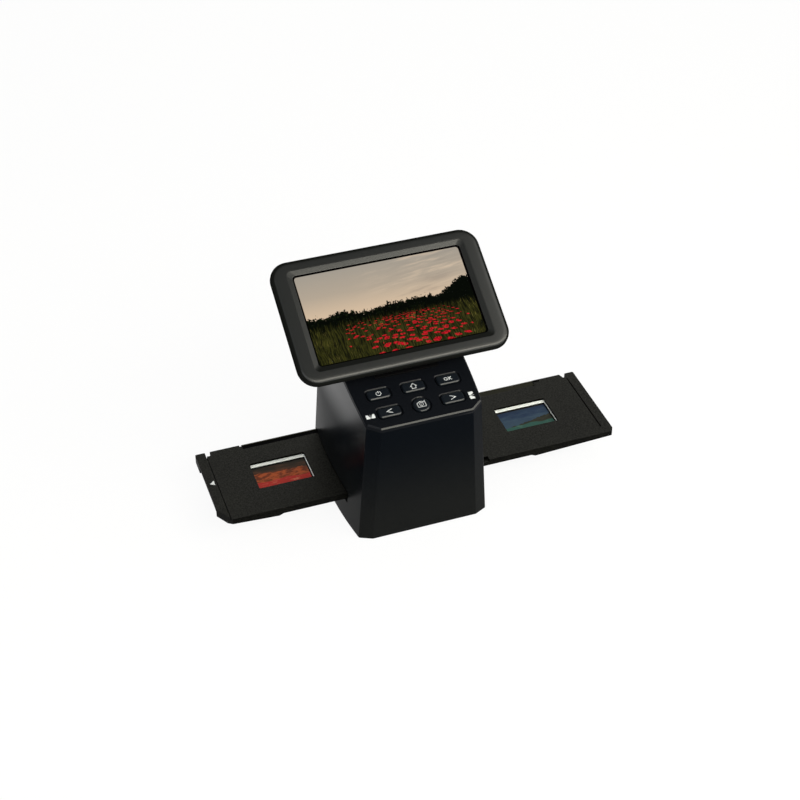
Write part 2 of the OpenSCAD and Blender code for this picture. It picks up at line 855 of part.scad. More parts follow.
module light_shaft() {
  color("#141517") translate([0, axis_y, 0]) difference() {
    union() {
      translate([0, 0, shaft_z]) plate(shaft_w, shaft_d, 2, shaft_top - shaft_z);
      translate([0, 0, shaft_z]) plate(shaft_w + 2*flange_w, shaft_d, 3, flange_t);
      translate([0, 0, shaft_top - shaft_cap])
        cylinder(d = lens_d + 2*collar_wall, h = shaft_cap + collar_h);
      translate([0, 0, shaft_top - shaft_cap]) corners(post_x, post_y)
        cylinder(d = post_d, h = main_z - shaft_top + shaft_cap);
      translate([0, 0, shaft_top - eps]) corners(sensor_hole_x, sensor_hole_y)
        cylinder(d = standoff_d, h = standoff_h + eps);
    }
    translate([0, 0, shaft_z - 1])
      plate(shaft_w - 2*shaft_t, shaft_d - 2*shaft_t, 1, shaft_top - shaft_cap - shaft_z + 1);
    translate([0, 0, shaft_z]) cylinder(d = lens_d + 2*fit, h = far);
    translate([0, 0, shaft_z + flange_t])
      corners((shaft_w + flange_w)/2, shaft_d/2 - flange_screw_in) screwHole(3*flange_t);
    translate([0, 0, main_z]) corners(post_x, post_y) screwHole(main_screw_l);
    translate([0, 0, sensor_z]) corners(sensor_hole_x, sensor_hole_y) screwHole(sensor_screw_l);
  }
}

module lens_barrel() {
  color("#101113") translate([0, axis_y, lens_z]) difference() {
    union() {
      cylinder(d = lens_d, h = lens_l);
      translate([0, 0, lens_l - lens_head_h]) cylinder(d = lens_d + 2*lens_head_w, h = lens_head_h);
    }
    translate([0, 0, -1]) cylinder(d = lens_glass_d - 2*lens_lip, h = lens_l + 2);
    translate([0, 0, -1]) cylinder(d = lens_glass_d, h = lens_seat + 1);
    translate([0, 0, lens_l - lens_seat]) cylinder(d = lens_glass_d, h = lens_seat + 1);
  }
}

// A biconvex element: two shallow domed faces on a cylindrical rim
module lensElement(d, t) {
  rise = t/3;
  steps = 6;
  dome = [for (i = [0:steps]) let (x = i*d/2/steps) [x, rise*(1 - pow(2*x/d, 2))]];
  color("#a9cfe0") rotate_extrude() polygon(concat(
    [for (p = dome) [p[0], t - rise + p[1]]],
    [for (i = [steps:-1:0]) [dome[i][0], rise - dome[i][1]]]
  ));
}

module front_lens() {
  translate([0, axis_y, lens_z + lens_seat - lens_glass_t - fit])
    lensElement(lens_glass_d - 2*fit, lens_glass_t);
}

module rear_lens() {
  translate([0, axis_y, lens_z + lens_l - lens_seat + fit])
    lensElement(lens_glass_d - 2*fit, lens_glass_t);
}

module sensor_board() {
  color("#24543a") translate([0, axis_y, sensor_z]) difference() {
    plate(sensor_board_w, sensor_board_d, 1, pcb_t);
    translate([0, 0, pcb_t]) corners(sensor_hole_x, sensor_hole_y) screwHole(2*pcb_t);
  }
}

module image_sensor() {
  color("#2c3b52") translate([0, axis_y, sensor_z - sensor_h/2])
    cube([sensor_s, sensor_s, sensor_h], center = true);
}

module sensor_screws() {
  color("#8d8f93") translate([0, axis_y, sensor_z + pcb_t])
    corners(sensor_hole_x, sensor_hole_y) screw(sensor_screw_l);
}

// ---- Electronics ----

module main_board() {
  color("#24543a") difference() {
    translate([-main_w/2, main_front, main_z]) cube([main_w, main_back - main_front, pcb_t]);
    translate([0, axis_y, main_z + pcb_t]) corners(post_x, post_y) screwHole(2*pcb_t);
  }
}

module main_board_screws() {
  color("#8d8f93") translate([0, axis_y, main_z + pcb_t]) corners(post_x, post_y)
    screw(main_screw_l);
}

module processor() {
  color("#18191b") translate([0, axis_y - 4, main_z + pcb_t + processor_h/2])
    cube([processor_s, processor_s, processor_h], center = true);
}

// A hollow metal socket: its mouth faces the back
module socket(x, w, h, l, r) {
  skin = 0.4;
  color("#b4b7bb") translate([x, back_y - wall + socket_reach, main_z + pcb_t + h/2])
    rotate([90, 0, 0]) difference() {
      plate(w, h, r, l);
      translate([0, 0, -3]) plate(w - 2*skin, h - 2*skin, r - skin/2, l);
    }
}

module card_socket() { socket(card_x, card_w, card_h, card_l, 0.5); }
module usb_socket() { socket(usb_x, usb_w, usb_h, usb_l, usb_h/2 - 0.1); }
module video_socket() { socket(video_x, video_w, video_h, video_l, 0.5); }

// ---- Hinge on the panel ----

module hinge_bracket() {
  color("#3c3e42") onPanel() difference() {
    union() {
      translate([-bracket_w/2, hinge_v - bracket_front, 0]) cube([bracket_w, bracket_len, bracket_t]);
      for (s = [-1, 1]) translate([s*bracket_foot - bracket_foot_w/2, hinge_v, 0])
        cube([bracket_foot_w, bracket_rear, bracket_t]);
      for (s = [-1, 1]) translate([s*(bracket_w/2 - ear_t/2) - ear_t/2, hinge_v, 0]) {
        translate([0, -knuckle_r, 0]) cube([ear_t, 2*knuckle_r, hinge_h]);
        translate([0, 0, hinge_h]) rotate([0, 90, 0]) cylinder(r = knuckle_r, h = ear_t);
      }
    }
    translate([-bracket_w/2 - 1, hinge_v, hinge_h]) rotate([0, 90, 0])
      cylinder(d = pin_d + 2*fit, h = bracket_w + 2);
    for (s = [-1, 1]) translate([s*bracket_foot, bracket_screw_v, bracket_t])
      screwHole(2*bracket_t);
  }
}

module bracket_screws() {
  color("#8d8f93") onPanel() for (s = [-1, 1])
    translate([s*bracket_foot, bracket_screw_v, bracket_t]) screw(panel_t + 1);
}

module hinge_pin() {
  color("#c3c6ca") onHinge() translate([-bracket_w/2, 0, 0]) rotate([0, 90, 0])
    cylinder(d = pin_d, h = bracket_w);
}

module rest_pads() {
  color("#2a2a2c") onPanel() for (s = [-1, 1]) translate([s*pad_u, pad_v, -pad_seat])
    cylinder(d = pad_d, h = pad_h + pad_seat);
}

// ---- Display ----

// One level of the display's rounded edge, from z0 up to z1
module bezelLayer(z0, z1, inset) {
  translate([0, 0, z0]) linear_extrude(z1 - z0)
    roundedRect(display_w - 2*inset, display_h - 2*inset, display_r - inset, $fn = 32);
}

module display_bezel() {
  color("#3a3b38") onDisplay() difference() {
    union() {
      difference() {
        hull() {
          bezelLayer(-parting, -parting/3, 0);
          bezelLayer(bezel_rise*0.5 - layer_t, bezel_rise*0.5, bezel_edge*0.45);
          bezelLayer(bezel_rise - layer_t, bezel_rise, bezel_edge + 1);
        }
        hull() {
          translate([0, 0, bezel_rise + eps]) linear_extrude(eps)
            roundedRect(lcd_w + 2*bezel_slope, lcd_h + 2*bezel_slope, bezel_well_r, $fn = 32);
          translate([0, 0, window_t/2]) linear_extrude(eps)
            roundedRect(lcd_w + 1, lcd_h + 1, 1.6, $fn = 32);
        }
        translate([0, 0, -far/2])
          plate(lcd_w + 2*lcd_margin, lcd_h + 2*lcd_margin, 1, far/2 + window_t + fit);
        translate([0, 0, -far/2 - parting*0.4])
          plate(display_w - 2*bezel_wall, display_h - 2*bezel_wall, display_r - bezel_wall, far/2);
      }
      corners(display_screw_x, display_screw_y) translate([0, 0, -parting])
        cylinder(d = display_boss_d, h = parting);
    }
    corners(display_screw_x, display_screw_y) translate([0, 0, -parting])
      mirror([0, 0, 1]) screwHole(parting);
  }
}

module display_window() {
  color([0.75, 0.85, 0.9, 0.4]) onDisplay()
    plate(lcd_w + 2*lcd_margin - 2*fit, lcd_h + 2*lcd_margin - 2*fit, 1, window_t);
}

module lcd_panel() {
  color("#5c6b60") onDisplay() translate([0, 0, -lcd_t])
    plate(lcd_w + 2*lcd_margin - 2*fit, lcd_h + 2*lcd_margin - 2*fit, 1, lcd_t);
}

module display_board() {
  color("#24543a") onDisplay() translate([0, 0, -lcd_t - board_gap - display_pcb_t])
    plate(lcd_w - 2*display_pcb_in, lcd_h - 3*display_pcb_in, 2, display_pcb_t);
}

module display_back_cover() {
  barrel_y = -hinge_drop;
  color("#232528") onDisplay() difference() {
    union() {
      difference() {
        hull() {
          bezelLayer(-display_back + cover_edge_h, -parting - fit, 0.3);
          bezelLayer(-display_back, -display_back + layer_t, cover_edge);
        }
        translate([0, 0, -display_back + display_wall])
          plate(display_w - 2*cover_wall, display_h - 2*cover_wall, display_r - cover_wall, far);
      }
      corners(display_screw_x, display_screw_y) translate([0, 0, -display_back + display_wall/2])
        cylinder(d = display_boss_d, h = display_back - parting - display_wall/2 - fit);
      translate([-barrel_l/2, barrel_y, -hinge_back]) rotate([0, 90, 0])
        cylinder(r = knuckle_r, h = barrel_l);
      translate([-barrel_l/2, barrel_y - barrel_neck/2, -hinge_back])
        cube([barrel_l, barrel_neck, hinge_back - display_back + display_wall/2]);
    }
    translate([-barrel_l/2 - 1, barrel_y, -hinge_back]) rotate([0, 90, 0])
      cylinder(d = pin_d + 2*pin_gap, h = barrel_l + 2);
    corners(display_screw_x, display_screw_y) translate([0, 0, -display_back + display_head_up])
      mirror([0, 0, 1]) {
        cylinder(d = head_d + 2*fit, h = 2*head_h);
        screwHole(display_back);
      }
  }
}

module display_screws() {
  color("#8d8f93") onDisplay() corners(display_screw_x, display_screw_y)
    translate([0, 0, -display_back + display_head_up]) mirror([0, 0, 1])
      screw(display_back - cover_edge);
}

// ---- Film holder ----

function frameX(i) = (i - (frame_n - 1)/2)*frame_pitch;

// Notch down from a back edge; lean slopes its inner side and opens its mouth
module notch(lean) {
  polygon([
    [-notch_w/2 - 3*lean, notch_d], [notch_w/2, notch_d],
    [notch_w/2, -notch_d], [-notch_w/2 + lean, -notch_d]
  ]);
}

// Outline seen from above, with cut front corners and notches in the back edge
module holderOutline(l) {
  difference() {
    polygon([
      [-l/2, window_back], [l/2, window_back], [l/2, window_back - holder_w + holder_corner],
      [l/2 - holder_corner*0.9, window_back - holder_w],
      [-l/2 + holder_corner*0.9, window_back - holder_w],
      [-l/2, window_back - holder_w + holder_corner]
    ]);
    translate([-notch_x, window_back]) notch(0);
    translate([notch_x, window_back]) notch(notch_lean);
  }
}

module holder_base() {
  color("#26271f") onHolder() difference() {
    union() {
      linear_extrude(base_leaf_t) holderOutline(holder_l);
      linear_extrude(holder_t) intersection() {
        holderOutline(holder_l);
        for (s = [-1, 1]) translate([s*(holder_l - strip_l)/2, 0])
          square([strip_l, far], center = true);
      }
    }
    for (i = [0:frame_n - 1]) translate([frameX(i), 0, 0]) {
      translate([0, 0, -1]) plate(window_w, window_h, 1, holder_t + 2);
      translate([-mount_s/2 - pocket_gap, -mount_s/2 - pocket_gap, pocket_z])
        cube([mount_s + 2*pocket_gap, mount_s + 2*pocket_gap, holder_t]);
      translate([0, window_back - detent_in + detent_w/2, 0]) rotate([90, 0, 0])
        cylinder(r = detent_r + 0.4, h = detent_w);
    }
    for (s = [-1, 1]) {
      translate([s*(lid_l/2 - hinge_boss/2), film_pin_y - axis_y, pocket_z - 0.5])
        linear_extrude(holder_t) square([hinge_boss + 0.6, hinge_boss + 0.6], center = true);
      translate([s*(lid_l/2 + 4), film_pin_y - axis_y, film_pin_z]) rotate([0, 90, 0])
        cylinder(d = film_pin_d + 2*fit, h = 2*film_pin_l, center = true);
    }
    translate([-step_x, window_back - holder_w - 1, -1]) cube([2*step_x, 1 + step_in, 1 + step_h]);
    for (m = [0, 1]) mirror([m, 0, 0])
      translate([holder_l/2 - grip_w, window_back - holder_w + grip_front, -1])
        cube([grip_w + 1, holder_w - grip_back - grip_front, 1 + holder_t - grip_t]);
  }
}

module holder_lid() {
  color("#2a2b23") onHolder() difference() {
    union() {
      translate([0, 0, base_leaf_t + fit]) linear_extrude(lid_t) intersection() {
        holderOutline(holder_l);
        square([lid_l, far], center = true);
      }
      for (s = [-1, 1])
        translate([s*(lid_l/2 - hinge_boss/2), film_pin_y - axis_y, pocket_z + 0.1])
          linear_extrude(holder_t - pocket_z - 0.1) square(hinge_boss, center = true);
    }
    for (i = [0:frame_n - 1]) translate([frameX(i), 0, 0]) plate(window_w, window_h, 1, holder_t + 2);
    translate([-rim_l/2, window_back - rim_w, holder_t - rim_drop]) cube([rim_l, rim_w + 1, 2]);
    for (s = [-1, 1])
      translate([s*lid_l/2, film_pin_y - axis_y, film_pin_z]) rotate([0, 90, 0])
        cylinder(d = film_pin_d + 2*fit, h = 2*film_pin_l, center = true);
  }
}

module holder_hinge_pins() {
  color("#c3c6ca") onHolder() for (s = [-1, 1])
    translate([s*lid_l/2, film_pin_y - axis_y, film_pin_z]) rotate([0, 90, 0])
      cylinder(d = film_pin_d, h = film_pin_l, center = true);
}

module slide_mounts() {
  color("#e9ece9") onHolder() for (i = [0:frame_n - 1]) translate([frameX(i), 0, pocket_z])
    difference() {
      plate(mount_s, mount_s, 1, mount_t);
      translate([0, 0, -1]) plate(aperture_w, aperture_h, 0.5, mount_t + 2);
      translate([0, 0, -1]) plate(aperture_w + 2*film_lap, aperture_h + 2*film_lap, 0.5, mount_t/2 + 1);
    }
}

module slide_films() {
  color("#6b4a3a") onHolder() for (i = [0:frame_n - 1])
    translate([frameX(i), 0, pocket_z + mount_t/2 - film_t])
      plate(aperture_w + 2*film_lap - 2*fit, aperture_h + 2*film_lap - 2*fit, 0.4, film_t);
}

housing();
control_panel();
rear_cover();
base_plate();
rubber_feet();
base_screws();
rear_cover_screws();
film_guide();
gate_plate();
detent_spring();
guide_screws();
backlight_board();
backlight_leds();
light_box();
diffuser();
light_shaft();
lens_barrel();
front_lens();
rear_lens();
sensor_board();
image_sensor();
sensor_screws();
main_board();
processor();
main_board_screws();
card_socket();
usb_socket();
video_socket();
key_board();
tact_switches();
key_board_screws();
hinge_bracket();
bracket_screws();
hinge_pin();
rest_pads();
display_bezel();
display_window();
lcd_panel();
display_board();
display_back_cover();
display_screws();
holder_base();
holder_lid();
holder_hinge_pins();
slide_mounts();
slide_films();
power_key();
home_key();
ok_key();
left_key();
capture_key();
right_key();
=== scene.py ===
import json
from math import cos, pi, radians, sin, tan

import bmesh
import bpy
from mathutils import Matrix, Vector


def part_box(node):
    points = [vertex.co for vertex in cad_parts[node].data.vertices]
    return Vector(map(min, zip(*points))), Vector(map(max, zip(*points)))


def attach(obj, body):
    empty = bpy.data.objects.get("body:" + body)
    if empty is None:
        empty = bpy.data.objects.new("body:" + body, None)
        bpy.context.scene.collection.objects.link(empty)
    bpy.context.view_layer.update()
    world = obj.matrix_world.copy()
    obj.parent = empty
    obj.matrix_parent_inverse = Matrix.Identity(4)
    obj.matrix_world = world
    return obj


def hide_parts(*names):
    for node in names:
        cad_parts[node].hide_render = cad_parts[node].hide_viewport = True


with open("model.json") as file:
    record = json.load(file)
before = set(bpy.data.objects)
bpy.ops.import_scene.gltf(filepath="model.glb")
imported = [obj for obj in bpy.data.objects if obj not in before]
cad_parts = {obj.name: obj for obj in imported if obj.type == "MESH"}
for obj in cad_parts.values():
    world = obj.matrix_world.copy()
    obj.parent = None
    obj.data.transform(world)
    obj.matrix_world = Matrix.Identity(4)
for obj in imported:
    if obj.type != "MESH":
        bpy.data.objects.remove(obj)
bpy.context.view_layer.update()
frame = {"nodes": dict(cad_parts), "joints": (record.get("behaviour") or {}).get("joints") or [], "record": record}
print("packed model loaded")

mm = 0.001
joints = {j["name"]: j for j in frame["joints"]}


# Shader maths: a socket's value that can be added, multiplied and compared

def forward(operation):
    return lambda self, other: self.maths(operation, self, other)

def reflected(operation):
    return lambda self, other: self.maths(operation, other, self)

class Reading:
    def __init__(self, finish, socket):
        self.finish = finish
        self.socket = socket

    def maths(self, operation, first, second=0.0):
        return self.finish.add("ShaderNodeMath", {"operation": operation}, {0: first, 1: second})

    __add__, __radd__ = forward("ADD"), reflected("ADD")
    __sub__, __rsub__ = forward("SUBTRACT"), reflected("SUBTRACT")
    __mul__, __rmul__ = forward("MULTIPLY"), reflected("MULTIPLY")
    __truediv__, __rtruediv__ = forward("DIVIDE"), reflected("DIVIDE")
    __pow__, __lt__, __gt__ = forward("POWER"), forward("LESS_THAN"), forward("GREATER_THAN")
    smallest, largest = forward("MINIMUM"), forward("MAXIMUM")

    def size(self):
        return self.maths("ABSOLUTE", self)

    def step(self, low, high):  # 0 below low, 1 above high, smooth between
        return self.finish.add("ShaderNodeMapRange", {"interpolation_type": "SMOOTHSTEP"},
            {"Value": self, "From Min": low, "From Max": high})

class Nodes:  # the nodes of one material or world
    def __init__(self, owner):
        owner.use_nodes = True
        self.tree = owner.node_tree

    def add(self, kind, settings=None, sockets=None, output=0):
        node = self.tree.nodes.new(kind)
        for key, value in (settings or {}).items():
            if key == "stops":
                elements = node.color_ramp.elements
                while len(elements) < len(value):
                    elements.new(1.0)
                for element, (place, colour) in zip(elements, value):
                    element.position, element.color = place, (*colour, 1)
            else:
                setattr(node, key, value)
        for key, value in (sockets or {}).items():
            self.feed(node.inputs[key], value)
        return Reading(self, node.outputs[output])

    def feed(self, socket, value):
        if isinstance(value, Reading):
            self.tree.links.new(value.socket, socket)
        elif isinstance(value, tuple) and len(value) == 3 and socket.type == "RGBA":
            socket.default_value = (*value, 1)
        else:
            socket.default_value = value

    def place(self, output="Object"):
        return self.add("ShaderNodeTexCoord", output=output)

    def apart(self, vector):
        node = self.add("ShaderNodeSeparateXYZ", sockets={0: vector}).socket.node
        return [Reading(self, out) for out in node.outputs]

    def together(self, x, y, z=0.0):
        return self.add("ShaderNodeCombineXYZ", sockets={0: x, 1: y, 2: z})

    def noise(self, vector, scale, detail=3.0, roughness=0.5):
        return self.add("ShaderNodeTexNoise", sockets={
            "Vector": vector, "Scale": scale, "Detail": detail, "Roughness": roughness})

    def field(self, x, y, z=0.0, detail=3.0, roughness=0.5):  # noise over a picture's own two measures
        return self.noise(self.together(x, y, z), 1.0, detail, roughness)

    def mix(self, factor, first, second, blend="MIX"):
        return self.add("ShaderNodeMix", {"data_type": "RGBA", "blend_type": blend},
            {0: factor, 6: first, 7: second}, output=2)

    def ramp(self, factor, stops):
        return self.add("ShaderNodeValToRGB", {"stops": stops}, {0: factor})

    def dot(self, vector, direction):
        return self.add("ShaderNodeVectorMath", {"operation": "DOT_PRODUCT"}, {0: vector, 1: direction},
            output="Value")

class Finish(Nodes):  # one material with its shader
    def __init__(self, name, **values):
        self.material = bpy.data.materials.new(name)
        super().__init__(self.material)
        self.shader = self.tree.nodes["Principled BSDF"]
        self.output = self.tree.nodes["Material Output"]
        for key, value in values.items():
            self.give(socketNames[key], value)

    def give(self, socketName, value):
        self.feed(self.shader.inputs[socketName], value)

    def bump(self, height, depth):
        self.give("Normal", self.add("ShaderNodeBump", sockets={
            "Height": height, "Distance": depth, "Strength": 1.0}))

socketNames = {"colour": "Base Color", "rough": "Roughness", "metal": "Metallic",
    "gloss": "Specular IOR Level",
    "coat": "Coat Weight", "glow": "Emission Strength"}

white, black = (1.0, 1.0, 1.0), (0.0, 0.0, 0.0)

def tone(red, green, blue):  # a colour as it should render, 0 to 255, as Blender's linear values
    return tuple(c / 255 / 12.92 if c / 255 <= 0.04045 else ((c / 255 + 0.055) / 1.055) ** 2.4
        for c in (red, green, blue))


# Moulded plastic: fine spark-eroded grain, faint flow and handling marks, with sizes in millimetres
# Polish lists the ways that smoother sides face, the cosines between which it comes in, and its weight

facing = {"left": (-1.0, 0.0, 0.0), "back": (0.0, 1.0, 0.0), "up": (0.0, 0.0, 1.0), "backUp": (0.0, 0.6, 0.8),
    "frontUp": (0.0, -0.72, 0.69), "keyFront": (0.15, -0.71, 0.69)}
broadGrain = 22  # size of the flow marks
paintedFootAndPolishFade = {"tone": (5, 85), "polish": (60, 88)}  # heights between which a finish changes from the foot's: its tone, painted reflection of the lit floor, and its lack of polish

def plastic(name, colour, rough, gloss, grain=0.35, depth=0.012, fleck=0.12, smear=0.06, polish=None,
        coatRough=0.3, foot=None):
    finish = Finish(name, gloss=gloss)
    where = finish.place()
    fine = finish.noise(where, 1 / (grain * mm), 2.0, 0.6)
    broad = finish.noise(where, 1 / (broadGrain * mm), 3.0, 0.55)
    shade = 1 + (fine - 0.5) * fleck * 2 + (broad - 0.5) * fleck
    height = 1.0
    if foot:  # another tone towards the foot, painted reflection of the lit floor, and the polish only above it
        z = finish.apart(where)[2]
        paintedReflectionFade, height = (z.step(low * mm, high * mm) for low,
            high in (paintedFootAndPolishFade["tone"], paintedFootAndPolishFade["polish"]))
        colour = finish.mix(paintedReflectionFade, foot, colour)
    finish.give("Base Color", finish.mix(1.0, colour, finish.together(shade, shade, shade), "MULTIPLY"))
    finish.give("Roughness", rough + (broad - 0.5) * smear * 2 + (fine - 0.5) * smear)
    finish.bump(fine, depth * mm)
    if polish:  # the sides that face these ways are smoother than the flanks
        normal = finish.place("Normal")
        sheen = sum(finish.dot(normal, facing[way]).step(low, high) * weight for way, low, high,
            weight in polish)
        finish.give("Coat Weight", sheen * height * (1 + (fine - 0.5) * fleck * 1.5))
        finish.give("Coat Roughness", coatRough)
    return finish.material

def metal(name, colour, rough=0.3, brush=None, pitch=0.25):
    finish = Finish(name, metal=1.0)
    where = finish.place()
    if brush:  # drawn out along one axis, as a rolled sheet or a turned pin is
        where = finish.add("ShaderNodeVectorMath", {"operation": "MULTIPLY"}, {0: where, 1: brush})
    grain = finish.noise(where, 1 / (pitch * mm), 4.0, 0.6)
    spots = finish.noise(finish.place(), 1 / (3 * mm), 3.0)
    finish.give("Base Color", finish.mix(spots.step(0.35, 0.75), colour, tuple(c * 0.72 for c in colour)))
    finish.give("Roughness", rough + (grain - 0.5) * 0.25)
    finish.bump(grain, 0.006 * mm)
    return finish.material

def circuitBoard(name, colour, copper):
    finish = Finish(name, rough=0.35, gloss=0.5, coat=0.3)
    x, y = finish.apart(finish.place())[:2]
    cells = finish.add("ShaderNodeTexVoronoi", {"distance": "MANHATTAN"},
        {"Vector": finish.place(), "Scale": 1 / (2.2 * mm)})
    tracks = finish.add("ShaderNodeTexBrick", {"offset": 0.35}, {
        "Vector": finish.together(x, y), "Scale": 1 / (1.8 * mm), "Mortar Size": 0.07,
        "Color1": white, "Color2": white, "Mortar": black})
    lines = 1 - finish.add("ShaderNodeRGBToBW", sockets={0: tracks})
    pads = cells < 0.28
    finish.give("Base Color",
        finish.mix(pads, finish.mix(lines * 0.6, colour, tuple(c * 1.7 for c in colour)),
        copper))
    finish.give("Roughness", 0.42 - pads * 0.12)
    finish.bump(lines + pads, 0.03 * mm)
    return finish.material

def clearFinish(name, colour, alpha, rough):
    finish = Finish(name, colour=colour, gloss=0.15)
    haze = finish.noise(finish.place(), 1 / (9 * mm), 3.0)
    finish.give("Alpha", alpha + (haze - 0.5) * alpha * 0.3)
    finish.give("Roughness", rough + (haze - 0.5) * rough)
    return finish.material

finishes = {
    # the shell's foot tone is lighter, painted reflection of the lit floor, between 5 and 85 mm up
    "black_shell": plastic("shellBlack", tone(4, 7, 12), 0.3, 0.02, depth=0.004, foot=tone(20, 21, 21),
        polish=[("left", 0.9, 0.97, 0.68), ("back", 0.9, 0.97, 0.5)]),
    "panel_black": plastic("panelBlack", tone(13, 15, 19), 0.3, 0.03, depth=0.004,
        polish=[("keyFront", 0.83, 0.95, 0.62)], coatRough=0.25),
    "dark_plastic": plastic("innerBlack", tone(12, 12, 13), 0.5, 0.04, polish=[("back", 0.93, 0.99, 0.3)]),
    "bezel_grey": plastic("bezelGrey", tone(20, 21, 20), 0.45, 0.0, grain=0.28, depth=0.01,
        polish=[("frontUp", 0.86, 0.94, 1.0)], coatRough=0.34),
    "holder_olive": plastic("holderOlive", tone(8, 8, 6), 0.5, 0.03, grain=0.9, depth=0.05, fleck=2.2,
        polish=[("up", 0.55, 0.88, 0.2), ("backUp", 0.88, 0.98, 0.8)], coatRough=0.48),
    "key_black": plastic("keyBlack", tone(18, 22, 27), 0.3, 0.03, depth=0.003,
        polish=[("keyFront", 0.83, 0.95, 0.6)], coatRough=0.25),
    "rubber_black": plastic("footRubber", tone(34, 34, 35), 0.82, 0.25, grain=0.5, depth=0.03),
    "steel": metal("screwSteel", tone(150, 152, 156), rough=0.32),
    "bright_metal": metal("platedSheet", tone(196, 198, 200), rough=0.28, brush=(0.12, 1.0, 1.0)),
    "board_green": circuitBoard("boardGreen", tone(28, 84, 52), tone(190, 160, 90)),
    "board_white": circuitBoard("boardWhite", tone(214, 214, 206), tone(190, 170, 110)),
    "led_yellow": plastic("ledPhosphor", tone(240, 226, 130), 0.3, 0.5, grain=0.2),
    "white_plastic": plastic("lightBoxWhite", tone(232, 232, 226), 0.5, 0.5, fleck=0.03),
    "opal_plastic": plastic("opalSheet", tone(240, 240, 236), 0.35, 0.5, fleck=0.02),
    "chip_black": plastic("chipEpoxy", tone(36, 37, 39), 0.55, 0.4, grain=0.2, depth=0.01),
    "sensor_blue": plastic("sensorBlue", tone(52, 70, 104), 0.12, 0.7, grain=0.1, depth=0.002),
    "mount_white": plastic("mountWhite", tone(244, 248, 246), 0.45, 0.45, grain=0.4, fleck=0.03, depth=0.008),
    "film_colour": plastic("filmBase", tone(60, 44, 36), 0.2, 0.5, fleck=0.05),
    "lcd_picture": plastic("glassBorder", tone(9, 10, 12), 0.2, 0.4, fleck=0.02, depth=0.002),
    "ink_white": plastic("printWhite", tone(205, 208, 210), 0.5, 0.3, grain=0.15, fleck=0.05, depth=0.002),
    "holder_rim": plastic("holderRim", tone(34, 34, 28), 0.5, 0.03, grain=0.6),
    # painted highlight: the lighter tone of the rim's lip stands for the light along the holder's back edge
    "rim_painted_highlight": plastic("rimPaintedHighlight", tone(50, 49, 40), 0.5, 0.05, grain=0.6,
        polish=[("frontUp", 0.6, 0.95, 1.0)]),
    # painted shade: black for the left rim recess and for the floors under the last holes
    "rim_painted_shade": plastic("rimPaintedShade", tone(3, 3, 4), 0.5, 0.01),
    "cover_glass": clearFinish("coverClear", tone(12, 13, 15), 0.03, 0.08),
    "lens_glass": clearFinish("lensCoated", tone(120, 90, 170), 0.45, 0.03),
}
print("finishes made")


# Mesh helpers: points are written in millimetres

def newPiece(name, points, faces, place=Matrix.Identity(4)):
    mesh = bpy.data.meshes.new(name)
    mesh.from_pydata([[c * mm for c in p] for p in points], [], faces)
    build = bmesh.new()
    build.from_mesh(mesh)
    bmesh.ops.recalc_face_normals(build, faces=build.faces)
    build.to_mesh(mesh)
    build.free()
    piece = bpy.data.objects.new(name, mesh)
    bpy.context.scene.collection.objects.link(piece)
    piece.matrix_world = place
    return piece

def rounded(corners, radii, steps=4):  # an outline whose corners are turned with these radii
    line = []
    count = len(corners)
    for i in range(count):
        before, corner, after = (Vector(corners[(i + k) % count]) for k in (-1, 0, 1))
        radius = radii[i] if isinstance(radii, (list, tuple)) else radii
        inDir, outDir = (before - corner).normalized(), (after - corner).normalized()
        angle = inDir.angle(outDir)
        reach = min(radius / tan(angle / 2), (before - corner).length * 0.48,
            (after - corner).length * 0.48) if radius else 0
        if reach < 1e-6:
            line.append(tuple(corner))
            continue
        turn = reach * tan(angle / 2)
        middle = corner + (inDir + outDir).normalized() * (turn / sin(angle / 2))
        start, end = corner + inDir * reach - middle, corner + outDir * reach - middle
        sweep = start.angle_signed(end)
        for k in range(steps + 1):
            line.append(tuple(middle + Matrix.Rotation(-sweep * k / steps, 2) @ start))
    return line

def roundedBox(width, height, radius, steps=8, x=0, y=0):
    w, h = width / 2, height / 2
    return rounded([(x - w, y - h), (x + w, y - h), (x + w, y + h), (x - w, y + h)], radius, steps)

def circle(radius, start=0, end=360, steps=36, x=0, y=0):
    count = steps if end - start == 360 else steps + 1
    return [(x + radius * cos(a), y + radius * sin(a))
        for a in (radians(start + (end - start) * k / steps) for k in range(count))]

def loft(name, rings, place=Matrix.Identity(4), closed=False):  # rings of equal length, ends capped
    count = len(rings[0])
    points = [p for ring in rings for p in ring]
    faces = []
    last = len(rings) if closed else len(rings) - 1
    for r in range(last):
        a, b = r * count, (r + 1) % len(rings) * count
        faces += [(a + i, a + (i + 1) % count, b + (i + 1) % count, b + i) for i in range(count)]
    if not closed:
        faces += [tuple(range(count)), tuple(range(len(points) - count, len(points)))]
    return newPiece(name, points, faces, place)

def level(outline, z):
    return [(x, y, z) for x, y in outline]

def slab(name, outline, low, high, place=Matrix.Identity(4)):
    return loft(name, [level(outline, low), level(outline, high)], place)

def boxTool(x0, x1, y0, y1, z0, z1, place):
    return slab("boxTool", [(x0, y0), (x1, y0), (x1, y1), (x0, y1)], z0, z1, place)

def applied(piece):  # the piece with its modifiers made real
    bpy.context.view_layer.update()
    mesh = bpy.data.meshes.new_from_object(piece.evaluated_get(bpy.context.evaluated_depsgraph_get()))
    piece.modifiers.clear()
    piece.data = mesh
    return piece

def carve(piece, tools, operation="DIFFERENCE"):
    for tool in tools:
        cut = piece.modifiers.new("cut", "BOOLEAN")
        cut.operation, cut.object, cut.solver = operation, tool, "EXACT"
        applied(piece)
        bpy.data.objects.remove(tool)
    return piece

def bevel(piece, width, segments, angle):
    edge = piece.modifiers.new("edge", "BEVEL")
    edge.width, edge.segments = width * mm, segments
    edge.limit_method, edge.angle_limit = "ANGLE", radians(angle)
    return edge

